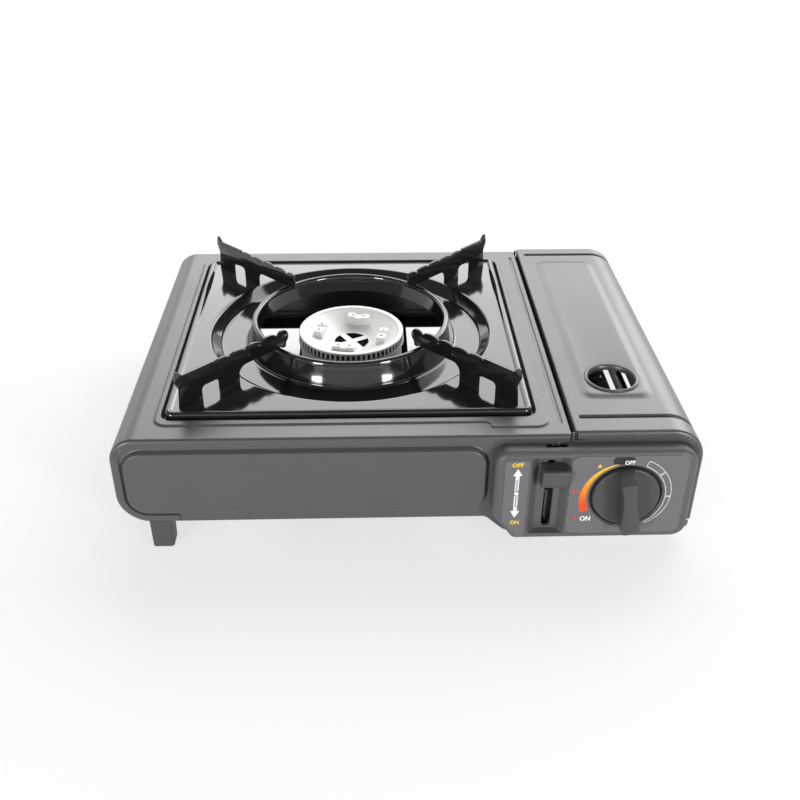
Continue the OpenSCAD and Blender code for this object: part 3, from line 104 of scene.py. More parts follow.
def turned(p: Sequence[float], angle: float) -> Point:
    """Turn a flat point anticlockwise about the origin by an angle in radians."""
    c, s = math.cos(angle), math.sin(angle)
    return c * p[0] - s * p[1], s * p[0] + c * p[1]


def polar(cx: float, cy: float, r: float, angle: float) -> Point:
    """Point at a radius and an angle in radians from a centre."""
    return cx + r * math.cos(angle), cy + r * math.sin(angle)


def fillet_loop(corners: Sequence[Point3], step: float = 7.5) -> Loop:
    """Round the corners of a closed polygon.

    Args:
        corners: x, y and radius of each corner, in order.
        step: largest angle in degrees between two points of a round corner.

    Returns:
        The points of the rounded outline.
    """
    loop: Loop = []
    for i, (x, y, r) in enumerate(corners):
        p = Vector((x, y))
        if r <= 0:
            loop.append((x, y))
            continue
        a = (Vector(corners[i - 1][:2]) - p).normalized()
        b = (Vector(corners[(i + 1) % len(corners)][:2]) - p).normalized()
        half = a.angle(b) / 2
        centre = p + (a + b).normalized() * (r / math.sin(half))
        first = p + a * (r / math.tan(half)) - centre
        last = p + b * (r / math.tan(half)) - centre
        sweep = math.atan2(first.x * last.y - first.y * last.x, first.dot(last))
        count = max(2, math.ceil(abs(sweep) / math.radians(step)))
        loop += [tuple(centre + Vector(turned(first, sweep * k / count))) for k in range(count + 1)]
    return loop


def rounded_rect(x: Point, y: Point, r: float, step: float = 7.5) -> Loop:
    """Outline of a rectangle with round corners between two limits each way."""
    (x0, x1), (y0, y1) = x, y
    return fillet_loop([(x0, y0, r), (x1, y0, r), (x1, y1, r), (x0, y1, r)], step)


def rounded_box(cx: float, cy: float, w: float, h: float, r: float, step: float = 7.5) -> Loop:
    """Outline of a rectangle with round corners about a centre."""
    return rounded_rect((cx - w / 2, cx + w / 2), (cy - h / 2, cy + h / 2), r, step)


def circle(cx: float, cy: float, r: float, count: int = 64) -> Loop:
    """Points of a circle, anticlockwise."""
    turn = 2 * math.pi / count
    return [polar(cx, cy, r, k * turn) for k in range(count)]


def arc(cx: float, cy: float, r: float, start: float, end: float, step: float = 9.0) -> Loop:
    """Points of an arc between two angles in degrees, both ends included."""
    count = max(2, math.ceil(abs(end - start) / step))
    return [polar(cx, cy, r, math.radians(start + (end - start) * k / count)) for k in range(count + 1)]


def mirrored(loop: Loop) -> Loop:
    """Mirror an outline left to right and keep it anticlockwise."""
    return [(-x, y) for x, y in reversed(loop)]


def offset_loop(loop: Loop, inset: float) -> Loop:
    """Draw an anticlockwise outline in by a distance, or out where it is negative.

    Args:
        loop: the outline.
        inset: distance to move each point towards the inside.

    Returns:
        The moved outline, with as many points.
    """
    p = np.array(loop)
    ahead = np.roll(p, -1, axis=0) - p
    ahead /= np.linalg.norm(ahead, axis=1)[:, None]
    behind = np.roll(ahead, 1, axis=0)
    normal = np.column_stack([-(ahead + behind)[:, 1], (ahead + behind)[:, 0]])
    normal /= np.linalg.norm(normal, axis=1)[:, None]
    across = -behind[:, 1] * normal[:, 0] + behind[:, 0] * normal[:, 1]
    return [tuple(q) for q in p + normal * (inset / across)[:, None]]


def depth_inside(points: np.ndarray, loop: Loop) -> np.ndarray:
    """Distance of points from an outline, positive inside it.

    Args:
        points: an array of flat points.
        loop: the closed outline.

    Returns:
        One signed distance for each point.
    """
    a = np.array(loop)
    ab = np.roll(a, -1, axis=0) - a
    ap = points[:, None, :] - a[None]
    t = np.clip((ap * ab).sum(2) / (ab * ab).sum(1), 0, 1)
    near = np.linalg.norm(ap - t[..., None] * ab, axis=2).min(1)
    above = ap[:, :, 1] < 0
    crosses = above != np.roll(above, -1, axis=1)
    rise = np.where(ab[:, 1] == 0, 1e-12, ab[:, 1])
    left = ap[:, :, 0] < ap[:, :, 1] * ab[:, 0] / rise
    inside = (crosses & left).sum(1) % 2 == 1
    return np.where(inside, near, -near)


def soft_step(rise: float, slope: float, lead: float = 0.4, steps: int = 6) -> list[Point]:
    """Insets and heights of a smooth pressed step.

    Args:
        rise: height of the step, negative for a groove.
        slope: width over which it rises.
        lead: width of the flat margin held on each side.
        steps: number of rings across the slope.

    Returns:
        Pairs of inset and height, from the outside in.
    """
    across = [k / steps for k in range(steps + 1)]
    rings = [(slope * t, rise * t * t * (3 - 2 * t)) for t in across]
    return [(-lead, 0.0), *rings, (slope + lead, rise)]


# ---------------------------------------------------------------- planes that flat outlines lie on


def front_point(y: float, u: float, v: float, h: float) -> Point3:
    """Set x and z on a plane that faces the front, heights towards the viewer."""
    return u, y - h, v


def rear_point(y: float, u: float, v: float, h: float) -> Point3:
    """Set mirrored x and z on a plane that faces the rear."""
    return -u, y + h, v


def level_point(z: float, u: float, v: float, h: float) -> Point3:
    """Set x and y on a level plane."""
    return u, v, z + h


def side_point(u: float, v: float, h: float) -> Point3:
    """Set y and z on a plane across the width."""
    return h, u, v


# ---------------------------------------------------------------- meshes


def linked(name: str, data: bpy.types.ID) -> Obj:
    """Put data into the scene as a new object.

    Args:
        name: the object's name.
        data: its mesh, curve, lamp or camera.

    Returns:
        The object.
    """
    obj = bpy.data.objects.new(name, data)
    bpy.context.scene.collection.objects.link(obj)
    return obj


def evaluated_mesh(obj: Obj) -> bpy.types.Mesh:
    """Mesh of an object with its modifiers or letters worked out."""
    bpy.context.view_layer.update()
    return bpy.data.meshes.new_from_object(obj.evaluated_get(bpy.context.evaluated_depsgraph_get()))


def plain(obj: Obj) -> Obj:
    """Turn an object with modifiers into a plain mesh object.

    Args:
        obj: the object, which is left without modifiers.

    Returns:
        The same object with the evaluated mesh.
    """
    mesh = evaluated_mesh(obj)
    obj.modifiers.clear()
    old, obj.data = obj.data, mesh
    mesh.name = obj.name
    bpy.data.meshes.remove(old)
    return obj


def modified(obj: Obj, kind: str, **settings: object) -> Obj:
    """Apply one modifier.

    Args:
        obj: the object.
        kind: the modifier's type.
        settings: the modifier's properties.

    Returns:
        The same object as a plain mesh.
    """
    modifier = obj.modifiers.new(kind, kind)
    for key, value in settings.items():
        setattr(modifier, key, value)
    return plain(obj)


def thicken(obj: Obj, thick: float) -> Obj:
    """Give a sheet its thickness in millimetres, inwards."""
    return modified(obj, "SOLIDIFY", thickness=thick * MM, offset=-1.0, use_even_offset=True)


def ease_edges(obj: Obj, width: float) -> Obj:
    """Round an object's hard edges by a width in millimetres."""
    return modified(obj, "BEVEL", width=width * MM, segments=2, limit_method="ANGLE",
                    angle_limit=math.radians(32))


def cut_away(obj: Obj, cutter: Obj) -> Obj:
    """Cut one solid out of another.

    Args:
        obj: the solid that stays.
        cutter: the solid that is taken out of it, which is removed.

    Returns:
        The solid that stays.
    """
    modified(obj, "BOOLEAN", operation="DIFFERENCE", object=cutter, solver="EXACT")
    bpy.data.meshes.remove(cutter.data)
    return obj


def smooth(obj: Obj, angle: float = 38.0) -> Obj:
    """Shade an object smooth.

    Args:
        obj: the object.
        angle: edges sharper than this, in degrees, stay hard.

    Returns:
        The same object.
    """
    obj.data.shade_smooth()
    obj.data.set_sharp_from_angle(angle=math.radians(angle))
    return obj


@contextmanager
def editing(mesh: bpy.types.Mesh) -> Iterator[bmesh.types.BMesh]:
    """Open a mesh for changes and write them back at the end.

    Args:
        mesh: the mesh.

    Returns:
        The open mesh, for a with statement.
    """
    bm = bmesh.new()
    bm.from_mesh(mesh)
    yield bm
    bm.to_mesh(mesh)
    bm.free()


def written(name: str, bm: bmesh.types.BMesh) -> Obj:
    """Turn an open mesh into an object of the scene.

    Args:
        name: the object's name.
        bm: the open mesh, which is closed.

    Returns:
        The object.
    """
    mesh = bpy.data.meshes.new(name)
    bm.to_mesh(mesh)
    bm.free()
    return linked(name, mesh)


def mesh_object(name: str, points: Iterable, faces: Iterable) -> Obj:
    """Make a mesh object from points in millimetres.

    Args:
        name: the object's name.
        points: the points.
        faces: lists of point numbers.

    Returns:
        The object, in the scene, with doubles merged and loose points gone.
    """
    mesh = bpy.data.meshes.new(name)
    mesh.from_pydata([tuple(MM * c for c in p) for p in points], [], [tuple(f) for f in faces])
    with editing(mesh) as bm:
        bmesh.ops.remove_doubles(bm, verts=bm.verts, dist=MERGE_M)
        bmesh.ops.delete(bm, geom=[v for v in bm.verts if not v.link_faces], context="VERTS")
    return linked(name, mesh)


def outward(obj: Obj) -> Obj:
    """Turn the faces of a closed mesh outwards.

    Args:
        obj: the object.

    Returns:
        The same object.
    """
    with editing(obj.data) as bm:
        bmesh.ops.recalc_face_normals(bm, faces=bm.faces)
    return obj


def joined(name: str, *parts: Obj) -> Obj:
    """Join mesh objects into one.

    Args:
        name: the new object's name.
        parts: the objects, which are removed.

    Returns:
        The new object.
    """
    bm = bmesh.new()
    for part in parts:
        bm.from_mesh(part.data)
        bpy.data.meshes.remove(part.data)
    return written(name, bm)


def hull(name: str, points: Iterable[Point3]) -> Obj:
    """Make the convex solid round points.

    Args:
        name: the object's name.
        points: the points in millimetres.

    Returns:
        The solid.
    """
    bm = bmesh.new()
    for p in points:
        bm.verts.new(tuple(MM * c for c in p))
    bmesh.ops.convex_hull(bm, input=bm.verts)
    bmesh.ops.dissolve_limit(bm, angle_limit=math.radians(1), verts=bm.verts, edges=bm.edges)
    return outward(written(name, bm))


def loft(name: str, rings: Sequence[Sequence[Point3]], closed_ends: bool = True) -> Obj:
    """Skin a row of rings that have equal numbers of points.

    Args:
        name: the object's name.
        rings: rings of points in millimetres.
        closed_ends: whether the first and last ring are filled.

    Returns:
        The skinned object with its faces outwards.
    """
    n = len(rings[0])
    points = [p for ring in rings for p in ring]
    faces = [(i * n + k, i * n + (k + 1) % n, (i + 1) * n + (k + 1) % n, (i + 1) * n + k)
             for i in range(len(rings) - 1) for k in range(n)]
    if closed_ends:
        faces += [range(n - 1, -1, -1), range((len(rings) - 1) * n, len(rings) * n)]
    obj = mesh_object(name, points, faces)
    return outward(obj) if closed_ends else obj


def prism(name: str, loop: Loop, place: Place, low: float, high: float) -> Obj:
    """Make the solid between two heights of a flat outline."""
    return loft(name, [[place(x, y, h) for x, y in loop] for h in (low, high)])


def lathe_rings(profile: Sequence[Point], centre: Point3, count: int) -> list[list[Point3]]:
    """Rings of a profile of radius and height turned about a vertical axis."""
    cx, cy, cz = centre
    return [[(x, y, cz + z) for x, y in circle(cx, cy, r, count)] for r, z in profile]


@dataclass
class Pressing:
    """A shape pressed into a sheet: rings from its outline inwards, each with a height."""

    loop: Loop
    rings: list[Point]
    open_inside: bool = False

    def loops(self) -> list[tuple[Loop, float]]:
        """Outlines of the rings with their heights."""
        return [(offset_loop(self.loop, inset), height) for inset, height in self.rings]

    def height_at(self, points: np.ndarray) -> np.ndarray:
        """Height that the pressing gives to points of the flat sheet."""
        insets, heights = zip(*self.rings)
        return np.interp(depth_inside(points, self.loop), insets, heights)


@dataclass
class Trough:
    """A pressed shape whose rings are drawn one by one, each with a height."""

    steps: list[tuple[Loop, float]]
    open_inside: bool = False

    def loops(self) -> list[tuple[Loop, float]]:
        """Outlines of the rings with their heights."""
        return self.steps

    def height_at(self, points: np.ndarray) -> np.ndarray:
        """Height of the innermost ring round each point.

        Args:
            points: an array of flat points.

        Returns:
            One height for each point.
        """
        height = np.zeros(len(points))
        for loop, level in self.steps:
            height = np.where(depth_inside(points, loop) > -1e-6, level, height)
        return height


@dataclass
class PressedSheet:
    """A flat sheet with pressings and holes, which is bent into place when it is made."""

    outline: Loop
    pressings: list[Pressing | Trough]
    holes: list[Loop] = field(default_factory=list)
    folds: list[Loop] = field(default_factory=list)

    def make(self, name: str, place: Place) -> Obj:
        """Mesh the sheet and bend it into place.

        Args:
            name: the object's name.
            place: turns flat u and v and a height into a point in millimetres.

        Returns:
            The sheet as an open surface.
        """
        holes = list(self.holes)
        rows = [(loop, -1, 0.0) for loop in (self.outline, *holes)]
        for k, pressing in enumerate(self.pressings):
            loops = pressing.loops()
            rows += [(loop, k, height) for loop, height in loops]
            if pressing.open_inside:
                holes.append(loops[-1][0])
        points: Loop = []
        edges: list[tuple[int, int]] = []
        owner: list[tuple[int, float]] = []
        for loop, k, height in rows + [(fold, -1, 0.0) for fold in self.folds]:
            start, count = len(points), len(loop)
            points += loop
            owner += [(k, height)] * count
            edges += [(start + i, start + (i + 1) % count) for i in range(count if count > 2 else 1)]
        found, _, faces, origin, _, _ = delaunay_2d_cdt([Vector(p) for p in points], edges, [], 0, FLAT_EPS)
        flat = np.array([tuple(v) for v in found])
        height = np.zeros(len(flat))
        for k, pressing in enumerate(self.pressings):
            part = pressing.height_at(flat)
            for i, sources in enumerate(origin):
                for s in sources:
                    if owner[s][0] == k:
                        part[i] = owner[s][1]
            height += part
        triangles = np.array([tuple(f) for f in faces])
        centres = flat[triangles].mean(axis=1)
        keep = depth_inside(centres, self.outline) > 0
        for hole in holes:
            keep &= depth_inside(centres, hole) < 0
        return mesh_object(name, [place(u, v, h) for (u, v), h in zip(flat, height)], triangles[keep])


@dataclass
class BentPath:
    """The line that a sheet is bent along in X and Z, with a turned-in flange at both Y edges."""

    corners: list[Point3]
    y_low: float
    y_high: float
    flange: float
    bend: float = 2.0
    steps: int = 12
    runs: list[tuple[float, float, Vector, Vector, float]] = field(default_factory=list)

    def __post_init__(self) -> None:
        """Lay out the straight runs and bends one after the other."""
        at = Vector(self.corners[0][:2])
        u = 0.0
        for i in range(1, len(self.corners)):
            p = Vector(self.corners[i][:2])
            ahead = (p - at).normalized()
            last = i == len(self.corners) - 1
            r = 0.0 if last else self.corners[i][2]
            length = (p - at).length - r
            self.runs.append((u, u + length, at.copy(), ahead, 0.0))
            u += length
            if not last:
                after = (Vector(self.corners[i + 1][:2]) - p).normalized()
                self.runs.append((u, u + r * math.pi / 2, p - ahead * r, ahead, r))
                u += r * math.pi / 2
                at = p + after * r
        self.length = u

    def at(self, u: float) -> tuple[Vector, Vector]:
        """Find a place on the line.

        Args:
            u: the flat coordinate along the line.

        Returns:
            The point and the outward normal.
        """
        u0, _, start, ahead, r = next((s for s in self.runs if u <= s[1]), self.runs[-1])
        normal = Vector((-ahead.y, ahead.x))
        if r == 0.0:
            return start + ahead * (u - u0), normal
        leaning = Vector(turned(normal, -(u - u0) / r))
        return start - normal * r + leaning * r, leaning

    def edge(self, v: float) -> Point:
        """Follow the sheet across into its flanges.

        Args:
            v: the flat coordinate across the sheet.

        Returns:
            Y and the depth below the surface.
        """
        for edge, sign in ((self.y_low, -1), (self.y_high, 1)):
            past = sign * v - (sign * edge - self.bend)
            if past > 0:
                turn = past / self.bend
                if turn < math.pi / 2:
                    return edge - sign * self.bend * (1 - math.sin(turn)), self.bend * (1 - math.cos(turn))
                return edge, self.bend + past - self.bend * math.pi / 2
        return v, 0.0

    def across(self, depth: float, sign: int) -> float:
        """Flat coordinate of a depth down the flange at the low (-1) or high (1) edge."""
        edge = self.y_low if sign < 0 else self.y_high
        return edge + sign * (self.bend * (math.pi / 2 - 1) + depth - self.bend)

    def place(self, u: float, v: float, h: float) -> Point3:
        """Bend a flat point into its place.

        Args:
            u: the coordinate along the line.
            v: the coordinate across the sheet.
            h: the height above the surface.

        Returns:
            The point.
        """
        p, normal = self.at(min(max(u, 0.0), self.length))
        y, depth = self.edge(v)
        p = p + normal * (h - depth)
        return p.x, y, p.y

    def folds(self) -> list[Loop]:
        """Draw the lines on which the bends are cut.

        Returns:
            Pairs of points across and along the flat sheet.
        """
        low, high = self.across(self.flange, -1) - 1, self.across(self.flange, 1) + 1
        stations: list[float] = []
        for u0, u1, _, _, r in self.runs:
            if r > 0:
                stations += [u0 - 0.3, u1 + 0.3]
                stations += [u0 + (u1 - u0) * k / self.steps for k in range(self.steps + 1)]
        lines = [[(u, low), (u, high)] for u in stations]
        turns = [k * self.bend * math.pi / 8 for k in range(5)] + [-0.4, self.bend * math.pi / 2 + 0.3]
        for edge, sign in ((self.y_low, -1), (self.y_high, 1)):
            for v in (edge - sign * (self.bend - t) for t in turns):
                lines.append([(-1.0, v), (self.length + 1.0, v)])
        return lines


# ---------------------------------------------------------------- finishes


class NodeTree:
    """Short ways to fill one node tree."""

    def __init__(self, tree: bpy.types.NodeTree) -> None:
        """Keep the tree that is filled."""
        self.tree = tree

    def feed(self, target: Socket, value: object) -> None:
        """Fill an input.

        Args:
            target: the input.
            value: an output to link, a number, or a colour without its alpha.
        """
        if isinstance(value, Socket):
            self.tree.links.new(value, target)
        else:
            target.default_value = (*value, 1.0) if isinstance(value, tuple) else value

    def add(self, kind: str, wires: dict[str | int, object] | None = None, **settings: object) -> bpy.types.Node:
        """Add a node.

        Args:
            kind: the node's type.
            wires: what fills its inputs, by their name or number.
            settings: its properties.

        Returns:
            The node.
        """
        node = self.tree.nodes.new(kind)
        for key, value in settings.items():
            setattr(node, key, value)
        for key, value in (wires or {}).items():
            self.feed(node.inputs[key], value)
        return node

    def maths(self, operation: str, *values: object, clamp: bool = False) -> Socket:
        """Calculate with sockets and numbers."""
        wires = dict(enumerate(values))
        return self.add("ShaderNodeMath", wires, operation=operation, use_clamp=clamp).outputs[0]

    def mix(self, share: object, a: object, b: object, blend: str = "MIX") -> Socket:
        """Mix two colours by a share of the second one."""
        wires = {0: share, 6: a, 7: b}
        return self.add("ShaderNodeMix", wires, data_type="RGBA", blend_type=blend).outputs[2]

    def ramp(self, value: Socket, low: float, high: float, out: tuple = (0.0, 1.0)) -> Socket:
        """Map a value's range to another one, held at its ends."""
        wires = {"Value": value, "From Min": low, "From Max": high, "To Min": out[0], "To Max": out[1]}
        return self.add("ShaderNodeMapRange", wires).outputs["Result"]

    def noise(self, coords: Socket, scale: object, detail: float) -> Socket:
        """Noise on the given coordinates, its scale a number or a socket."""
        wires = {"Vector": coords, "Scale": scale, "Detail": detail}
        return self.add("ShaderNodeTexNoise", wires).outputs["Fac"]

    def place(self) -> Socket:
        """The coordinates of the object itself."""
        return self.add("ShaderNodeTexCoord").outputs["Object"]


class ShaderGroup(NodeTree):
    """A node group for an effect that several finishes share."""

    def __init__(self, name: str, inputs: dict[str, float | Point3]) -> None:
        """Start the group.

        Args:
            name: its name.
            inputs: the names of its inputs with their first values.
        """
        super().__init__(bpy.data.node_groups.new(name, "ShaderNodeTree"))
        for key, value in inputs.items():
            colour = isinstance(value, tuple)
            kind = "NodeSocketColor" if colour else "NodeSocketFloat"
            socket = self.tree.interface.new_socket(key, in_out="INPUT", socket_type=kind)
            socket.default_value = (*value, 1.0) if colour else value
        self.given = self.add("NodeGroupInput").outputs

    def give(self, **values: Socket) -> bpy.types.NodeTree:
        """Close the group.

        Args:
            values: what it puts out; the one called Color is a colour.

        Returns:
            The finished node tree.
        """
        for key in values:
            kind = "NodeSocketColor" if key == "Color" else "NodeSocketFloat"
            self.tree.interface.new_socket(key, in_out="OUTPUT", socket_type=kind)
        self.add("NodeGroupOutput", values)
        return self.tree


class SurfaceGroups:
    """The effects that several finishes share."""

    def __init__(self) -> None:
        """Build each group once."""
        self.grain, self.brush, self.dust = self.make_grain(), self.make_brush(), self.make_dust()

    @staticmethod
    def make_grain() -> bpy.types.NodeTree:
        """Build fine grain with soft blotches.

        Returns:
            The group, with colour, roughness and height.
        """
        tree = ShaderGroup("surface_grain", {
            "Tone": (0.2, 0.2, 0.2), "Shade": (0.16, 0.16, 0.16), "Grain Scale": 1400.0,
            "Blotch Scale": 18.0, "Rough Low": 0.3, "Rough High": 0.4})
        given, coords = tree.given, tree.place()
        fine = tree.noise(coords, given["Grain Scale"], 3.0)
        broad = tree.noise(coords, given["Blotch Scale"], 4.0)
        patch = tree.maths("MULTIPLY", tree.ramp(broad, 0.3, 0.7), 0.45)
        blend = tree.maths("MULTIPLY_ADD", tree.ramp(fine, 0.3, 0.7), 0.55, patch)
        rough = tree.ramp(blend, 0.0, 1.0, (given["Rough Low"], given["Rough High"]))
        return tree.give(Color=tree.mix(blend, given["Tone"], given["Shade"]), Roughness=rough, Height=fine)

    @staticmethod
    def make_brush() -> bpy.types.NodeTree:
        """Build fine parallel strokes.

        Returns:
            The group, with a mask and a height.
        """
        stretch = {"X": 60.0, "Y": 1400.0, "Z": 1400.0}
        tree = ShaderGroup("brush_strokes", {f"Stretch {axis}": value for axis, value in stretch.items()})
        scale = tree.add("ShaderNodeCombineXYZ", {axis: tree.given[f"Stretch {axis}"] for axis in stretch})
        wires = {0: tree.place(), 1: scale.outputs[0]}
        stretched = tree.add("ShaderNodeVectorMath", wires, operation="MULTIPLY").outputs[0]
        strokes = tree.noise(stretched, 1.0, 3.0)
        return tree.give(Strokes=tree.ramp(strokes, 0.3, 0.7), Height=strokes)

    @staticmethod
    def make_dust() -> bpy.types.NodeTree:
        """Build sparse specks and faint rubbed patches over a colour.

        Returns:
            The group, with the colour.
        """
        tree = ShaderGroup("dust_and_rub", {"Color": (0.2, 0.2, 0.2), "Dust": (0.5, 0.5, 0.5), "Amount": 0.2})
        given, coords = tree.given, tree.place()
        specks = tree.ramp(tree.noise(coords, 520.0, 2.0), 0.68, 0.78)
        rubs = tree.ramp(tree.noise(coords, 30.0, 5.0), 0.55, 0.8, (0.0, 0.5))
        share = tree.maths("MULTIPLY", tree.maths("MAXIMUM", specks, rubs), given["Amount"])
        return tree.give(Color=tree.mix(share, given["Color"], given["Dust"]))


@dataclass(frozen=True)
class Finish:
    """One surface finish: its two tones, gloss, close texture and dust, with painted light and shade where a mesh
    carries them.
    """

    name: str
    tone: Point3
    shade: Point3
    rough: Point
    texture: Texture = Texture.GRAIN
    grain: float = 1400.0
    blotch: float = 18.0
    relief: float = 0.02
    metallic: float = 0.0
    specular: float = 0.5
    dust: float = 0.06
    dust_tone: Point3 = (0.45, 0.44, 0.42)
    # whether the finish multiplies in the mesh's painted highlight and painted shade
    has_painted_light: bool = False
    fade: Point | None = None
    fade_tone: Point3 = (0.0, 0.0, 0.0)

    def material(self, groups: SurfaceGroups) -> bpy.types.Material:
        """Build the finish as a material.

        Args:
            groups: the shared effects.

        Returns:
            The material.
        """
        made = bpy.data.materials.new(self.name)
        made.use_nodes = True
        tree = NodeTree(made.node_tree)
        grain = tree.add("ShaderNodeGroup", node_tree=groups.grain, wires={
            "Tone": self.tone, "Shade": self.shade, "Grain Scale": self.grain, "Blotch Scale": self.blotch,
            "Rough Low": self.rough[0], "Rough High": self.rough[1]}).outputs
        colour, height = grain["Color"], grain["Height"]
        if self.texture is Texture.BRUSHED:
            brush = tree.add("ShaderNodeGroup", node_tree=groups.brush).outputs
            colour, height = tree.mix(brush["Strokes"], colour, self.shade), brush["Height"]
        if self.fade:
            up = tree.add("ShaderNodeSeparateXYZ", {0: tree.place()}).outputs["Z"]
            low, high = (z * MM for z in self.fade)
            colour = tree.mix(tree.ramp(up, low, high), colour, self.fade_tone)
        # multiply in the painted highlight and painted shade that the mesh carries
        if self.has_painted_light:
            tint = tree.add("ShaderNodeAttribute", attribute_name=PAINTED_LIGHT).outputs["Color"]
            colour = tree.mix(1.0, colour, tint, "MULTIPLY")
        dust = tree.add("ShaderNodeGroup", node_tree=groups.dust, wires={
            "Color": colour, "Dust": self.dust_tone, "Amount": self.dust}).outputs
        bump = tree.add("ShaderNodeBump", {"Strength": 1.0, "Distance": self.relief * MM, "Height": height})
        shader = made.node_tree.nodes["Principled BSDF"]
        for key, value in {"Base Color": dust["Color"], "Roughness": grain["Roughness"],
                           "Normal": bump.outputs["Normal"], "Metallic": self.metallic,
                           "Specular IOR Level": self.specular}.items():
            tree.feed(shader.inputs[key], value)
        return made


def ink(name: str, tone: Point3, shade: Point3, rough: Point = (0.4, 0.55), **more: object) -> Finish:
    """Finish of a printed mark."""
    return Finish(name, tone, shade, rough, grain=2400.0, relief=0.004, specular=0.2, **more)


class Palette:
    """All finishes of the stove, each built when it is first asked for."""

    FINISHES: tuple[Finish, ...] = (
        Finish("grey_paint", (0.064, 0.062, 0.068), (0.056, 0.054, 0.060), (0.33, 0.40), relief=0.012,
               grain=900.0, specular=0.8, dust=0.03),
        Finish("black_enamel", (0.009, 0.0088, 0.009), (0.012, 0.0115, 0.0115), (0.07, 0.11), grain=140.0,
               relief=0.02, specular=0.85, dust=0.012),
        Finish("zinc_sheet", (0.52, 0.53, 0.55), (0.40, 0.41, 0.43), (0.28, 0.45), Texture.BRUSHED,
               metallic=0.9, blotch=60.0, relief=0.01),
        # darkened zinc: painted shade for zinc parts that sit deep inside the body
        Finish("dark_sheet", (0.030, 0.030, 0.032), (0.020, 0.020, 0.021), (0.4, 0.55), Texture.BRUSHED,
               metallic=0.3, blotch=60.0, relief=0.01),
        Finish("bright_steel", (0.62, 0.62, 0.62), (0.45, 0.45, 0.46), (0.2, 0.35), Texture.BRUSHED,
               metallic=1.0, relief=0.008),
        Finish("cast_alloy", (0.80, 0.785, 0.76), (0.68, 0.665, 0.64), (0.42, 0.6), grain=700.0, blotch=90.0,
               relief=0.10, metallic=0.1, dust=0.05, dust_tone=(0.3, 0.29, 0.27)),
        # a lighter copy of cast_alloy for the burner head: partly its own pale cast, partly painted light that makes
        # up for light the head lacks; it also takes the painted highlight and painted shade
        Finish("burner_cast", (0.90, 0.886, 0.86), (0.85, 0.836, 0.81), (0.36, 0.46), grain=700.0, blotch=90.0,
               relief=0.02, metallic=0.12, dust=0.03, dust_tone=(0.3, 0.29, 0.27), has_painted_light=True),
        Finish("brass", (0.62, 0.45, 0.18), (0.5, 0.34, 0.12), (0.22, 0.36), Texture.BRUSHED, metallic=1.0),
        Finish("black_rubber", (0.055, 0.055, 0.057), (0.065, 0.065, 0.066), (0.5, 0.7), grain=600.0, relief=0.04),
        Finish("grey_plastic", (0.080, 0.081, 0.082), (0.089, 0.089, 0.090), (0.42, 0.52), grain=1100.0,
               relief=0.03),
        Finish("button_plastic", (0.060, 0.060, 0.061), (0.068, 0.068, 0.069), (0.42, 0.52), grain=1100.0,
               relief=0.03),
        Finish("black_plastic", (0.050, 0.050, 0.052), (0.058, 0.058, 0.060), (0.34, 0.44), grain=1100.0),
        Finish("printed_film", (0.132, 0.125, 0.132), (0.138, 0.131, 0.138), (0.24, 0.30), grain=300.0,
               relief=0.004, dust=0.02),
        Finish("ceramic", (0.75, 0.73, 0.68), (0.68, 0.66, 0.6), (0.2, 0.35), grain=500.0),
        Finish("lead_sleeve", (0.55, 0.54, 0.5), (0.45, 0.44, 0.4), (0.45, 0.6), grain=800.0),
        ink("white_ink", (0.86, 0.86, 0.85), (0.80, 0.80, 0.79)),
        ink("yellow_ink", (0.92, 0.66, 0.01), (0.86, 0.60, 0.01)),
        ink("warm_ink", (0.92, 0.085, 0.02), (0.86, 0.075, 0.018), fade=(38.0, 65.0), fade_tone=(0.95, 0.60, 0.01)),
        ink("red_ink", (0.85, 0.05, 0.03), (0.78, 0.045, 0.03)),
        ink("dark_ink", (0.030, 0.030, 0.032), (0.038, 0.038, 0.040), (0.4, 0.5)),
    )
    # zinc parts deep inside the body that get the darkened zinc as painted shade
    SHADED_ZINC_NODES = ("cam_plate", "lever_guide", "burner_strap", "heat_shield")

    def __init__(self) -> None:
        """Build the shared groups and keep the finishes by name."""
        self.groups = SurfaceGroups()
        self.by_name = {finish.name: finish for finish in self.FINISHES}
        self.made: dict[str, bpy.types.Material] = {}

    def get(self, name: str) -> bpy.types.Material:
        """Find the material of a finish.

        Args:
            name: the finish's name.

        Returns:
            The material.
        """
        if name not in self.made:
            self.made[name] = self.by_name[name].material(self.groups)
        return self.made[name]

    def dress(self, obj: Obj, finish: str) -> None:
        """Give an object one finish and nothing else."""
        obj.data.materials.clear()
        obj.data.materials.append(self.get(finish))

    def dress_nodes(self) -> None:
        """Give every frame node the finish of its slot in the record, except the zinc parts deep inside, which get a
        darkened zinc as painted shade.
        """
        slots = {part["node"]: part["material_slot"] for part in frame["record"]["subparts"]}
        for name, node in frame["nodes"].items():
            self.dress(node, "dark_sheet" if name in self.SHADED_ZINC_NODES else slots[name])


palette = Palette()


def publish(obj: Obj, body: Body, slot: Slot, finish: str, *nodes: str) -> None:
    """Dress a finished piece, set it on its body and report it.

    Args:
        obj: the piece.
        body: the body that carries it.
        slot: the record's slot that it belongs to; not used.
        finish: the name of its finish.
        nodes: the frame nodes that it stands for.
    """
    palette.dress(obj, finish)
    for polygon in obj.data.polygons:
        polygon.material_index = 0
    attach(obj, body.value)
    if nodes:
        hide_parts(*nodes)
    log.info("%s: %d faces on %s", obj.name, len(obj.data.polygons), body.value)


# ---------------------------------------------------------------- sizes shared by the sub-assemblies


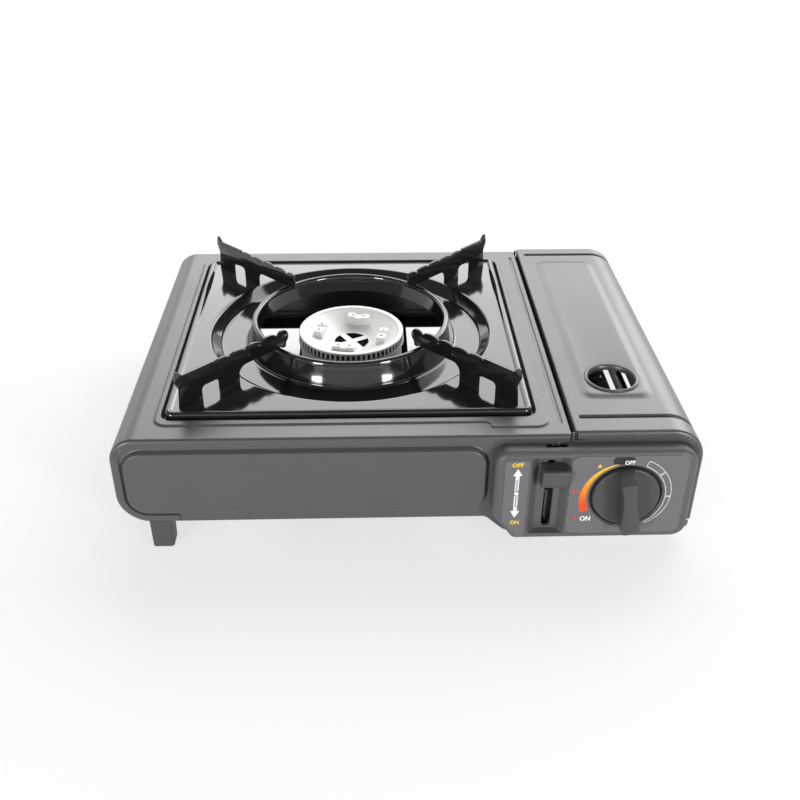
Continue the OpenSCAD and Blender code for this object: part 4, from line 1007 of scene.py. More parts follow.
@dataclass(frozen=True)
class Layout:
    """Main planes and axes of the stove."""

    left_x: float = -171.0
    right_x: float = 171.0
    front_y: float = -117.75
    rear_y: float = 140.25
    front_sheet_y: float = -116.75
    rear_sheet_y: float = 139.25
    deck_x: float = 92.8
    deck_z: float = 79.0
    under_z: float = 20.4
    pan_z: float = 9.4
    lid_x: float = 94.7
    lid_z: float = 81.0
    sheet: float = 0.8
    flange: float = 5.0
    tray_x: float = -34.3
    tray_y: float = 11.25
    tray_z: float = 81.2
    panel_face_y: float = -127.25
    knob_x: float = 125.8
    knob_z: float = 42.3
    slot_x: float = 81.4
    hinge_x: float = 166.4
    hinge_z: float = 21.0


PLAN = Layout()


# ---------------------------------------------------------------- sheet metal body


@dataclass
class BodyShell:
    """Bent shell: bottom lip, left wall, deck with the tray's opening, and right edge lip."""

    deck_r: float = 15.0
    lip_r: float = 19.0
    lip_l: float = 35.5
    edge_lip: float = 6.0
    edge_r: float = 1.1
    plateau: Point = (227.6, 231.6)
    plateau_h: float = 1.0
    plateau_slope: float = 1.6
    plateau_r: float = 9.0
    corner: Point = (36.0, 33.0)
    corner_out: Point = (3.2, 5.7)
    turn_r: Point = (1.5, 2.7)
    opening: float = 219.4
    opening_r: float = 7.2
    ledge_z: float = 73.6
    ledge_hole: float = 192.6
    groove_x: float = 88.2
    groove_w: float = 3.4
    groove_deep: float = 0.9
    groove_slope: float = 1.5
    groove_end: float = 12.0

    def path(self) -> BentPath:
        """Draw the line that the shell follows from its lip to the deck's right edge.

        Returns:
            The line.
        """
        return BentPath(
            [(PLAN.left_x + self.lip_l, PLAN.under_z, 0), (PLAN.left_x, PLAN.under_z, self.lip_r),
             (PLAN.left_x, PLAN.deck_z, self.deck_r), (PLAN.deck_x, PLAN.deck_z, self.edge_r),
             (PLAN.deck_x, PLAN.deck_z - self.edge_lip, 0)], PLAN.front_y, PLAN.rear_y, PLAN.flange)

    def plateau_loop(self, deck_u: float) -> Loop:
        """Draw the raised part of the deck with its wider front right corner.

        Args:
            deck_u: the flat coordinate at which x is zero.

        Returns:
            The outline on the flat sheet.
        """
        hx, hy = self.plateau[0] / 2, self.plateau[1] / 2
        far_x, far_y = hx + self.corner_out[0], hy + self.corner_out[1]
        (w, d), (side, end), r = self.corner, self.turn_r, self.plateau_r
        corners = [(-hx, -hy, r), (far_x - w, -hy, end), (far_x - w, -far_y, end), (far_x, -far_y, r),
                   (far_x, d - far_y, side), (hx, d - far_y, side), (hx, hy, r), (-hx, hy, r)]
        return fillet_loop([(deck_u + (PLAN.tray_x + cx), PLAN.tray_y + cy, cr) for cx, cy, cr in corners])

    def build(self) -> None:
        """Make the shell."""
        path = self.path()
        deck_u = path.runs[4][0] - (PLAN.left_x + self.deck_r)
        low, high = path.across(PLAN.flange, -1), path.across(PLAN.flange, 1)
        lip_u = path.runs[4][1] - 0.2
        outline = [(0.0, low), (lip_u, low), (lip_u, PLAN.front_sheet_y), (path.length, PLAN.front_sheet_y),
                   (path.length, PLAN.rear_sheet_y), (lip_u, PLAN.rear_sheet_y), (lip_u, high), (0.0, high)]
        drop = PLAN.deck_z + self.plateau_h - self.ledge_z
        wall = [(-1.1, 0.0), (-0.7, 0.0), (-0.35, -0.09), (-0.1, -0.34), (0.0, -0.7), (0.01, 0.7 - drop),
                (0.12, 0.3 - drop), (0.4, 0.06 - drop), (0.9, -drop), (1.4, -drop)]
        opening, hole = (rounded_box(deck_u + PLAN.tray_x, PLAN.tray_y, side, side, r) for side, r in (
            (self.opening, self.opening_r), (self.ledge_hole, self.plateau_r)))
        y0, y1 = PLAN.front_y + self.groove_end, PLAN.rear_y - self.groove_end
        groove = rounded_box(deck_u + self.groove_x, (y0 + y1) / 2, self.groove_w, y1 - y0,
                             self.groove_w / 2 - 0.05)
        sheet = PressedSheet(
            outline,
            [Pressing(self.plateau_loop(deck_u), soft_step(self.plateau_h, self.plateau_slope)),
             Pressing(opening, wall), Pressing(groove, soft_step(-self.groove_deep, self.groove_slope))],
            [hole], path.folds())
        shell = thicken(sheet.make("body_shell_sheet", path.place), PLAN.sheet)
        publish(smooth(shell), Body.STOVE, Slot.PAINT, "grey_paint", "body_shell")


@dataclass
class CartridgeLid:
    """Hinged lid over the cartridge with its raised field, grooves, finger hole and hinge ears."""

    corner_r: float = 20.0
    low_z: float = 16.4
    edge_lip: float = 6.0
    edge_r: float = 1.1
    edge_inset: float = 0.4
    field_x: float = 126.7
    field_w: float = 45.5
    field_y: Point = (-83.75, 115.25)
    field_r: float = 9.0
    field_h: float = 1.5
    field_slope: float = 6.0
    finger_y: float = -61.25
    finger_r: float = 14.1
    finger_bead: tuple[Point, ...] = (
        (-0.5, 0.0), (0.0, -0.12), (0.4, -0.22), (0.8, 0.0), (1.2, 0.5), (1.7, 0.85), (2.2, 0.95), (2.7, 0.75),
        (3.1, 0.2), (3.4, -0.6), (3.55, -1.5), (3.6, -2.6))
    groove_y: Point = (-101.75, 128.25)
    groove_r: float = 2.1
    groove_slope: float = 1.75
    groove_x0: float = 100.7
    groove_z1: float = 47.0
    ear_r: float = 4.5
    pin_r: float = 1.6

    def path(self) -> BentPath:
        """Draw the line that the lid follows from its left lip over the top to the foot of the right wall.

        Returns:
            The line.
        """
        return BentPath(
            [(PLAN.lid_x, PLAN.lid_z - self.edge_lip, 0), (PLAN.lid_x, PLAN.lid_z, self.edge_r),
             (PLAN.right_x, PLAN.lid_z, self.corner_r), (PLAN.right_x, self.low_z, 0)],
            PLAN.front_y, PLAN.rear_y, PLAN.flange)

    def ear(self, path: BentPath, sign: int) -> tuple[Loop, Loop]:
        """Draw a hinge ear on the flat sheet.

        Args:
            path: the lid's line.
            sign: -1 for the low and 1 for the high edge.

        Returns:
            The ear's edge and its pin hole.
        """
        u = path.length - (PLAN.hinge_z - self.low_z)
        v = path.across(PLAN.right_x - PLAN.hinge_x, sign)
        meet = math.degrees(math.asin((path.across(PLAN.flange, sign) - v) * sign / self.ear_r))
        ends = (180 - meet, meet) if sign > 0 else (180 + meet, 360 - meet)
        return arc(u, v, self.ear_r, *ends), circle(u, v, self.pin_r, 24)

    def build(self) -> None:
        """Make the lid."""
        path = self.path()
        top_u = path.runs[2][0] - (PLAN.lid_x + self.edge_r)
        low, high = path.across(PLAN.flange, -1), path.across(PLAN.flange, 1)
        lip_u = path.runs[2][0] + 0.2
        (low_ear, low_pin), (high_ear, high_pin) = self.ear(path, -1), self.ear(path, 1)
        front, rear = PLAN.front_y + self.edge_inset, PLAN.rear_y - self.edge_inset
        outline = [(0.0, front), (lip_u, front), (lip_u, low), *low_ear, (path.length, low),
                   (path.length, high), *reversed(high_ear), (lip_u, high), (lip_u, rear), (0.0, rear)]
        y0, y1 = self.field_y
        raised = rounded_box(top_u + self.field_x, (y0 + y1) / 2, self.field_w, y1 - y0, self.field_r)
        bead = list(self.finger_bead)
        finger = circle(top_u + self.field_x, self.finger_y, self.finger_r + bead[-1][0], 64)
        r = self.groove_r
        ends = (top_u + self.groove_x0 - r, path.runs[4][0] + (PLAN.lid_z - self.corner_r - self.groove_z1) + r)
        step = soft_step(-r * 0.8, self.groove_slope, 0.3, 5)
        grooves = [Pressing(rounded_rect(ends, (y - r, y + r), r - 0.05, 15.0), step) for y in self.groove_y]
        sheet = PressedSheet(
            outline, [Pressing(raised, soft_step(self.field_h, self.field_slope)), Pressing(finger, bead, True),
                      *grooves], [low_pin, high_pin], path.folds())
        lid = thicken(sheet.make("cartridge_lid_sheet", path.place), PLAN.sheet)
        publish(smooth(lid), Body.LID, Slot.PAINT, "grey_paint", "cartridge_lid")


@dataclass
class EndSheet:
    """Front or rear sheet with its raised field and foot flange."""

    name: str
    field_h: float
    rear: bool = False
    x: Point = (-170.0, 169.9)
    top_z: Point = (78.0, 79.9)
    corner_r: tuple[float, ...] = (18.0, 3.0, 18.9, 14.0)
    turn_x: float = 52.0
    turn_r: float = 6.0
    slit_x: Point = (91.8, 93.0)
    slit_z: float = 72.8
    notch_x: Point = (94.4, 101.2)
    notch_z: float = 74.7
    curl: Point = (7.5, 3.5)
    field_x: Point = (-165.5, 46.5)
    field_z: Point = (26.4, 72.4)
    field_r: float = 13.0
    slope: float = 2.6
    pin_r: float = 1.5
    spindle_r: float = 7.0
    lever_slot: tuple[float, ...] = (41.05, 7.4, 48.5, 0.5)
    foot: Point = (-134.5, 41.0)
    foot_y: Point = (0.7, 16.0)

    def outline(self) -> Loop:
        """Draw the sheet in X and Z, seen from the front.

        Returns:
            The outline.
        """
        hx, hz, low, t = PLAN.hinge_x, PLAN.hinge_z, PLAN.pan_z, self.turn_r
        (left, right), (deck, top), (outer, inner) = self.x, self.top_z, self.curl
        low_left, low_right, top_right, top_left = self.corner_r
        start = math.degrees(math.asin(-math.sqrt(outer ** 2 - (right - hx) ** 2) / outer))
        cut = arc(hx, hz, outer, start, -180.0, 12.0) + arc(hx, hz, inner, -180.0, 0.0, 15.0)
        (slit_0, slit_1), (notch_0, notch_1) = self.slit_x, self.notch_x
        return fillet_loop([
            (left, PLAN.under_z, low_left), (self.turn_x - t, PLAN.under_z, t), (self.turn_x + t, low, t),
            (right, low, low_right), *((x, z, 0.0) for x, z in cut), (right, top, top_right),
            (notch_1, top, 0.6), (notch_1, self.notch_z, 0.6), (notch_0, self.notch_z, 0.4), (notch_0, top, 0.4),
            (slit_1, top, 0.4), (slit_1, self.slit_z, 0.0), (slit_0, self.slit_z, 0.0), (slit_0, deck, 0.4),
            (left, deck, top_left)])

    def build(self) -> None:
        """Make the sheet."""
        loop = rounded_rect(self.field_x, self.field_z, self.field_r)
        outline, holes = self.outline(), [circle(PLAN.hinge_x, PLAN.hinge_z, self.pin_r, 24)]
        y, sign, node, place = PLAN.front_sheet_y, 1.0, "front_panel", front_point
        if self.rear:
            y, sign, node, place = PLAN.rear_sheet_y, -1.0, "rear_panel", rear_point
            outline, loop, holes = mirrored(outline), mirrored(loop), [mirrored(h) for h in holes]
        else:
            holes += [circle(PLAN.knob_x, PLAN.knob_z, self.spindle_r, 32),
                      rounded_box(PLAN.slot_x, *self.lever_slot)]
        pressing = Pressing(loop, soft_step(self.field_h, self.slope, 0.5, 8))
        sheet = thicken(PressedSheet(outline, [pressing], holes).make(self.name, partial(place, y)), PLAN.sheet)
        (y0, y1), z0, z1 = (y + sign * reach for reach in self.foot_y), PLAN.under_z, PLAN.under_z + PLAN.sheet
        foot = prism(self.name + "_foot", [(y0, z0), (y1, z0), (y1, z1), (y0, z1)], side_point, *self.foot)
        whole = joined(self.name, sheet, ease_edges(foot, 0.25))
        publish(smooth(whole), Body.STOVE, Slot.PAINT, "grey_paint", node)


# ---------------------------------------------------------------- repeated shapes


class Repeat:
    """Geometry nodes that copy one shape in a row or round a circle and give the copies a material."""

    KINDS = {"Shape": "Object", "Count": "Int", "Start": "Vector", "Step": "Vector", "Turn": "Float",
             "First Turn": "Float", "Centre": "Vector", "Material": "Material"}

    def __init__(self) -> None:
        """Build the tree once."""
        self.group = bpy.data.node_groups.new("repeat_shape", "GeometryNodeTree")
        sockets = self.group.interface
        sockets.new_socket("Geometry", in_out="OUTPUT", socket_type="NodeSocketGeometry")
        self.keys = {name: sockets.new_socket(name, in_out="INPUT", socket_type="NodeSocket" + kind).identifier
                     for name, kind in self.KINDS.items()}
        tree = NodeTree(self.group)
        given = tree.add("NodeGroupInput").outputs
        index = tree.add("GeometryNodeInputIndex").outputs[0]
        angle = tree.maths("MULTIPLY_ADD", index, given["Turn"], given["First Turn"])
        along = tree.add("ShaderNodeVectorMath", {0: given["Step"], 1: index, 2: given["Start"]},
                         operation="MULTIPLY_ADD")
        around = tree.add("ShaderNodeVectorRotate", {
            "Vector": along.outputs[0], "Center": given["Centre"], "Angle": angle}, rotation_type="Z_AXIS")
        points = tree.add("GeometryNodePoints", {"Count": given["Count"], "Position": around.outputs[0]})
        turn = tree.add("ShaderNodeCombineXYZ", {"Z": angle})
        shape = tree.add("GeometryNodeObjectInfo", {"Object": given["Shape"]})
        copies = tree.add("GeometryNodeInstanceOnPoints", {
            "Points": points.outputs[0], "Instance": shape.outputs["Geometry"], "Rotation": turn.outputs[0]})
        real = tree.add("GeometryNodeRealizeInstances", {0: copies.outputs[0]})
        dressed = tree.add("GeometryNodeSetMaterial", {"Geometry": real.outputs[0], "Material": given["Material"]})
        tree.add("NodeGroupOutput", {0: dressed.outputs[0]})

    def make(self, name: str, shape: Obj, finish: str, **values: object) -> Obj:
        """Copy a shape.

        Args:
            name: the new object's name.
            shape: the shape, drawn about its own origin, which is removed afterwards.
            finish: the finish of the copies.
            values: the tree's other inputs by name, an underscore for each space, lengths in millimetres.

        Returns:
            One plain mesh object with all the copies.
        """
        obj = mesh_object(name, [(0, 0, 0)], [])
        nodes = obj.modifiers.new("repeat", "NODES")
        nodes.node_group = self.group
        nodes[self.keys["Shape"]] = shape
        nodes[self.keys["Material"]] = palette.get(finish)
        for key, value in values.items():
            scaled = tuple(MM * c for c in value) if isinstance(value, tuple) else value
            nodes[self.keys[key.replace("_", " ").title()]] = scaled
        plain(obj)
        bpy.data.meshes.remove(shape.data)
        return obj


repeat = Repeat()


@dataclass
class FlangeCrimps:
    """Folds pressed into a front flange where it turns round a corner of the sheet."""

    name: str
    body: Body
    centre: Point
    radius: float
    first: float
    count: int
    step: float = 8.0
    reach: Point = (4.8, 1.5)
    width: float = 0.9
    rise: float = 0.4
    taper: float = 0.7

    def build(self) -> None:
        """Make the folds."""
        half, near, far = self.width / 2, self.radius - self.reach[0], self.radius - self.reach[1]
        section = [(-half, -0.1), (half, -0.1), (0.6 * half, 0.7 * self.rise), (0.2 * half, self.rise),
                   (-0.2 * half, self.rise), (-0.6 * half, 0.7 * self.rise)]
        ends = ((near, 0.3), (near + self.taper, 1.0), (far - self.taper, 1.0), (far, 0.3))
        fold = loft("fold", [[(x, y, z * share) for y, z in section] for x, share in ends])
        folds = repeat.make(self.name, fold, "grey_paint", count=self.count, turn=math.radians(self.step),
                            first_turn=math.radians(self.first))
        at = Vector((self.centre[0], PLAN.front_y, self.centre[1])) * MM
        folds.data.transform(Matrix.Translation(at) @ Matrix.Rotation(math.pi / 2, 4, "X"))
        publish(smooth(folds), self.body, Slot.PAINT, "grey_paint")


# ---------------------------------------------------------------- burner and feet


@dataclass
class BurnerHead:
    """Cast head: pale rim over a ring of teeth, dished top with windows and drilled blocks; painted highlight on its
    level tops, painted shade in its slots, holes and underside.
    """

    radius: float = 35.1
    rim: float = 3.2
    band_r: float = 32.7
    band_z: Point = (-5.8, -1.5)
    dish: float = 9.5
    wall: float = 2.0
    floor_r: float = 12.0
    top_z: float = 79.7
    teeth: int = 64
    slot_w: float = 1.75
    blocks: int = 4
    block_r: float = 21.5
    block_size: Point = (5.8, 15.0)
    block_end: float = 5.4
    block_top: float = -0.5
    block_dip: float = -1.5
    first_turn: float = -13.0
    hole_r: float = 0.85
    hole_gap: float = 7.8
    hole_z: Point = (-4.0, 1.0)
    window_r: Point = (3.4, 11.6)
    spoke: float = 4.6
    # factors of painted shade and painted highlight on the head's colour, and the heights where they are painted
    painted_shade: float = 0.04
    painted_highlight: float = 1.08
    painted_shade_hole_z: Point = (-4.2, -0.6)
    painted_shade_below: float = -10.0
    painted_highlight_above: float = -1.2

    def casting(self) -> Obj:
        """Turn the body and cut its windows.

        Returns:
            The body.
        """
        r, inner, low, d = self.radius, self.radius - self.rim, self.band_z[0], self.dish
        fr, w, band = self.floor_r, self.wall, self.band_r
        profile = [(0.02, -d), (fr - 1.4, -d), (fr - 0.2, 0.12 - d), (fr + 1.0, 0.6 - d), (inner - 1.4, -1.5),
                   (inner - 0.7, -1.0), (inner - 0.2, -0.5), (inner, -0.18), (inner + 0.3, 0.0),
                   (inner + 0.6, 0.0), (r - 0.7, 0.0), (r - 0.3, -0.1), (r, -0.4), (r, -1.2), (r - 0.1, -1.4),
                   (r - 0.4, -1.5), (band + 0.1, -1.5), (band, -1.6), (band, low + 0.1), (band - 0.1, low),
                   (inner + 0.1, low), (inner, low + 0.2), (inner, -0.8 - w), (fr, -d - w), (0.02, -d - w)]
        body = loft("burner_body", lathe_rings(profile, (0.0, 0.0, 0.0), 128))
        (r0, r1), half, step = self.window_r, self.spoke / 2, 360 / self.blocks
        a0, a1 = math.degrees(math.asin(half / r0)), math.degrees(math.asin(half / r1))
        loop = arc(0, 0, r1, a1 - step / 2, step / 2 - a1) + arc(0, 0, r0, step / 2 - a0, a0 - step / 2)
        for k in range(self.blocks):
            window = [turned(p, math.radians(self.first_turn + step * k)) for p in loop]
            cutter = prism("window_cutter", window, partial(level_point, 0.0), -d - w - 1, 1 - d)
            body = cut_away(body, cutter)
        return body

    def tooth(self) -> Obj:
        """Make one tooth of the ring, on the +X side.

        Returns:
            The tooth.
        """
        (z0, z1), r = self.band_z, self.radius
        half = math.pi * r / self.teeth - self.slot_w / 2
        steps = ((self.band_r - 0.4, half, 0.0), (r - 0.3, half, 0.0), (r, half - 0.25, 0.4))
        rings = [[(x, y, z) for y, z in rounded_box(0, (z0 + z1) / 2 + 0.1, 2 * w, z1 - z0 + 0.2 - inset, 0.2, 45.0)]
                 for x, w, inset in steps]
        return loft("burner_tooth", rings)

    def block(self) -> Obj:
        """Make one drilled block with a low middle, about its own origin.

        Returns:
            The block.
        """
        (w, length), low, top, dip = self.block_size, -self.dish, self.block_top, self.block_dip
        half, end = length / 2, length / 2 - self.block_end
        right = [(end, dip), (end + 0.5, top), (half - 0.4, top), (half, top - 0.4), (half + 0.5, low)]
        line = mirrored(right) + right
        rings = [[(x, y, z + drop if z > dip - 0.1 else z) for y, z in line]
                 for x, drop in ((-w / 2, -0.3), (0.3 - w / 2, 0.0), (w / 2 - 0.3, 0.0), (w / 2, -0.3))]
        block = loft("burner_block", rings)
        for side in (-1, 1):
            hole = [(x, y + side * self.hole_gap / 2) for x, y in circle(0, 0, self.hole_r, 12)]
            block = cut_away(block, prism("hole_cutter", hole, partial(level_point, 0.0), *self.hole_z))
        return block

    def shade(self, polygon: bpy.types.MeshPolygon) -> float:
        """Choose the painted light of a face: painted shade in the tooth slots, the drilled holes and under the head,
        and a painted highlight on level tops.

        Args:
            polygon: the face, about the head's own origin.

        Returns:
            The factor on the finish's colour.
        """
        x, y, z = (c / MM for c in polygon.center)
        reach, step = math.hypot(x, y), 2 * math.pi / self.blocks
        turn = (math.atan2(y, x) - math.radians(self.first_turn) + step / 2) % step - step / 2
        side = abs(reach * math.sin(turn)) - self.hole_gap / 2
        near_hole = math.hypot(reach * math.cos(turn) - self.block_r, side) < self.hole_r + 0.05
        in_hole = near_hole and self.painted_shade_hole_z[0] < z < self.painted_shade_hole_z[1]
        facing_out = (polygon.normal.x * x + polygon.normal.y * y) / max(reach, 1e-6) >= 0.5
        in_band = reach > self.band_r - 0.5 and self.band_z[0] < z < self.band_z[1]
        # painted shade: drilled holes, underside and the slots between the teeth
        if in_hole or z < self.painted_shade_below or (in_band and (reach < self.band_r + 0.3 or not facing_out)):
            return self.painted_shade
        # painted highlight on level tops
        return self.painted_highlight if polygon.normal.z > 0.9 and z > self.painted_highlight_above else 1.0

    def tint(self, obj: Obj) -> None:
        """Write the painted highlight on level tops and the painted shade in the slots, holes and underside into the
        mesh's own colour attribute.

        Args:
            obj: the head.
        """
        layer = obj.data.color_attributes.new(PAINTED_LIGHT, "FLOAT_COLOR", "CORNER")
        for polygon in obj.data.polygons:
            shade = self.shade(polygon)
            for i in polygon.loop_indices:
                layer.data[i].color = (shade, shade, shade, 1.0)

    def build(self) -> None:
        """Make the head."""
        full = 2 * math.pi
        teeth = repeat.make("burner_teeth", self.tooth(), "burner_cast", count=self.teeth, turn=full / self.teeth)
        blocks = repeat.make("burner_blocks", self.block(), "burner_cast", count=self.blocks,
                             start=(self.block_r, 0.0, 0.0), turn=full / self.blocks,
                             first_turn=math.radians(self.first_turn))
        head = joined("burner_head_casting", self.casting(), teeth, blocks)
        # write the painted highlight and painted shade into the head's colour attribute
        self.tint(head)
        head.data.transform(Matrix.Translation(Vector((PLAN.tray_x, PLAN.tray_y, self.top_z)) * MM))
        publish(smooth(head, 35.0), Body.STOVE, Slot.ALLOY, "burner_cast", "burner_head")


@dataclass
class TallFeet:
    """The two moulded feet under the left lip, with eased edges and a slight draught."""

    x: float = -147.8
    y: Point = (-110.25, 132.75)
    side: float = 13.0
    corner_r: float = 1.5
    draught: float = 0.5
    gap: float = 0.1

    def build(self) -> None:
        """Make the feet."""
        sides = ((0.0, 1.6 + self.draught), (0.25, 0.9 + self.draught), (0.8, self.draught),
                 (PLAN.under_z - self.gap, 0.0))
        feet = []
        for y in self.y:
            boxes = [(z, rounded_box(self.x, y, self.side - inset, self.side - inset, self.corner_r, 15.0))
                     for z, inset in sides]
            feet.append(loft("foot", [[(px, py, z) for px, py in box] for z, box in boxes]))
        moulding = joined("tall_feet_moulding", *feet)
        publish(smooth(moulding), Body.STOVE, Slot.RUBBER, "black_rubber", "tall_feet")


@dataclass
class ShieldFoot:
    """Turned-in foot of the heat shield under the lever's mechanism, with a raised lip and a stiffening rib."""

    x: Point = (80.9, 87.7)
    y: Point = (-112.0, -82.0)
    z: float = 9.5
    thick: float = 0.8
    lip: float = 1.0
    corner: float = 2.5
    rib_w: float = 2.6
    rib_h: float = 0.5
    rib_share: float = 0.7

    def build(self) -> None:
        """Make the foot."""
        (x0, x1), (y0, y1) = self.x, self.y
        outline = rounded_rect(self.x, self.y, self.corner)
        rib = rounded_box((x0 + x1) / 2, (y0 + y1) / 2, self.rib_w, self.rib_share * (y1 - y0), self.rib_w / 2 - 0.05)
        edge = [(0.0, self.lip), (0.2, 0.6 * self.lip), (0.5, 0.2 * self.lip), (0.9, 0.0), (1.3, 0.0)]
        sheet = PressedSheet(outline, [Pressing(outline, edge), Pressing(rib, soft_step(self.rib_h, 0.6, 0.1, 3))])
        foot = thicken(sheet.make("heat_shield_foot", partial(level_point, self.z + self.thick)), self.thick)
        # the foot takes the darkened zinc, painted shade under the lever's mechanism
        publish(smooth(foot), Body.STOVE, Slot.ZINC, "dark_sheet")


# ---------------------------------------------------------------- controls


@dataclass
class ControlPanel:
    """Moulded panel with the lever's trough, the knob's recess and the screw's notch."""

    x: Point = (48.7, 165.6)
    z: Point = (10.4, 73.6)
    corner_r: float = 9.0
    top_right_r: float = 11.5
    cut: Point = (13.0, 18.0)
    cut_r: float = 4.0
    edge: float = 2.5
    wall: float = 2.0
    trough_x: Point = (69.3, 92.0)
    trough_z: Point = (15.0, 69.8)
    trough_slope: Point = (4.8, 0.6)
    trough_r: float = 1.2
    trough_deep: float = 5.0
    slot_w: float = 5.4
    slot_z: Point = (16.8, 65.3)
    recess_r: float = 20.9
    recess_deep: float = 3.0
    spindle_r: float = 6.0
    notch_x: float = 84.0
    notch_w: float = 13.0
    notch_h: float = 4.0
    notch_deep: float = 5.0
    swing_r: float = 7.0
    swing_deep: float = 1.25

    def outline(self) -> Loop:
        """Draw the panel in X and Z, with the cut lower left corner.

        Returns:
            The outline.
        """
        (x0, x1), (z0, z1), r, c = self.x, self.z, self.corner_r, self.cut_r
        return fillet_loop([(x0 + self.cut[0], z0, c), (x1, z0, r), (x1, z1, self.top_right_r), (x0, z1, r),
                            (x0, z0 + self.cut[1], c)])

    def trough_step(self, t: float, level: float) -> tuple[Loop, float]:
        """Draw one ring of the lever's trough.

        Args:
            t: its share of the slope.
            level: its depth.

        Returns:
            The ring and its depth.
        """
        across, along = (slope * t for slope in self.trough_slope)
        x, z = ((ends[0] + inset, ends[1] - inset) for ends, inset in (
            (self.trough_x, across), (self.trough_z, along)))
        return rounded_rect(x, z, self.trough_r, 15.0), level

    def cutter(self) -> Obj:
        """Make the solid that opens the screw's notch and clears the lid's hinge ear behind the panel.

        Returns:
            The solid.
        """
        place = partial(front_point, PLAN.front_sheet_y)
        notch = rounded_box(self.notch_x, self.z[1], self.notch_w, 2 * self.notch_h, self.notch_h - 0.1)
        ear = circle(PLAN.hinge_x, PLAN.hinge_z, self.swing_r, 48)
        return joined("panel_cutter", prism("notch_cutter", notch, place, self.notch_deep, -1.0),
                      prism("ear_cutter", ear, place, self.swing_deep, -1.0))

    def build(self) -> None:
        """Make the panel."""
        outline = self.outline()
        full = PLAN.front_sheet_y - PLAN.panel_face_y
        start, d, low = full - self.edge, self.trough_deep, -self.recess_deep
        rim = [(0.0, 0.0), (0.03, start - 0.4), (0.3, start + 0.45), (0.8, start + 1.1), (1.5, start + 1.75),
               (2.2, full - 0.25), (2.7, full - 0.05), (3.2, full), (3.7, full)]
        trough = Trough([self.trough_step(t, level) for t, level in (
            (-0.14, 0.0), (-0.06, 0.0), (0.02, -0.06), (0.08, -0.25), (0.16, -0.7), (0.84, 0.7 - d),
            (0.92, 0.25 - d), (0.98, 0.06 - d), (1.06, -d), (1.14, -d))])
        recess = Pressing(circle(PLAN.knob_x, PLAN.knob_z, self.recess_r + 1.2, 72), [
            (-0.4, 0.0), (0.0, 0.0), (0.3, -0.08), (0.7, -0.35), (1.0, -0.8), (1.2, -1.4), (1.22, low + 0.5),
            (1.4, low + 0.15), (1.8, low), (2.4, low)])
        slot = rounded_box(PLAN.slot_x, sum(self.slot_z) / 2, self.slot_w, self.slot_z[1] - self.slot_z[0],
                           self.slot_w / 2 - 0.1)
        sheet = PressedSheet(outline, [Pressing(outline, rim), trough, recess],
                             [slot, circle(PLAN.knob_x, PLAN.knob_z, self.spindle_r, 32)])
        moulding = sheet.make("control_panel_moulding", partial(front_point, PLAN.front_sheet_y))
        panel = cut_away(thicken(moulding, self.wall), self.cutter())
        publish(smooth(panel, 30.0), Body.STOVE, Slot.PLASTIC, "grey_plastic", "control_panel")


@dataclass
class ControlKnob:
    """Round disc with a waisted grip bar across it."""

    disc_r: float = 19.7
    disc_front: float = -128.45
    disc_back: float = -124.45
    front: float = -140.25
    grip_w: float = 10.6
    grip_l: float = 40.0
    grip_steps: int = 28
    waist: float = 1.35
    lean: float = 8.0
    round_r: float = 1.4

    def disc(self) -> Obj:
        """Make the disc with its eased edge.

        Returns:
            The disc.
        """
        y0, y1, r = self.disc_front, self.disc_back, self.disc_r
        profile = [(0.01, y1), (r - 0.4, y1), (r, y1 - 0.4), (r, y0 + 1.0), (r - 0.12, y0 + 0.5),
                   (r - 0.5, y0 + 0.12), (r - 1.0, y0), (r - 2.0, y0 + 0.02), (r - 2.8, y0 + 0.12),
                   (r - 3.6, y0 + 0.2), (0.01, y0 + 0.2)]
        return loft("knob_disc", [[(x, y, z) for x, z in circle(PLAN.knob_x, PLAN.knob_z, radius, 72)]
                                  for radius, y in profile])

    def grip(self) -> Obj:
        """Make the waisted bar, lofted from its lower to its upper end.

        Returns:
            The bar.
        """
        half, base = self.grip_l / 2, self.disc_front + 1.0
        rings = []
        for k in range(self.grip_steps + 1):
            t = -math.cos(math.pi * k / self.grip_steps)
            z = half * t
            end = max(0.0, abs(t) - 0.9) / 0.1
            w = self.grip_w / 2 - self.waist * max(0.0, 1 - ((t - 0.25) / 0.8) ** 2) ** 1.5 - 0.8 * end ** 3
            rise = self.front + max(0.0, z - half + 2.6) * 3.6 + max(0.0, 1.5 - half - z) * 0.9
            e = min(self.round_r, w * 0.4)
            right = [(w - e, rise), (w - 0.35 * e, rise + 0.2 * e), (w - 0.1 * e, rise + 0.55 * e), (w, rise + e),
                     (w, base)]
            turns = [(turned((x, z), math.radians(self.lean)), y) for x, y in mirrored(right) + right]
            rings.append([(PLAN.knob_x + x, y, PLAN.knob_z + up) for (x, up), y in turns])
        return loft("knob_grip", rings)

    def build(self) -> None:
        """Make the knob."""
        knob = joined("control_knob_moulding", self.disc(), self.grip())
        publish(smooth(knob, 35.0), Body.KNOB, Slot.BLACK_PLASTIC, "black_plastic", "control_knob")


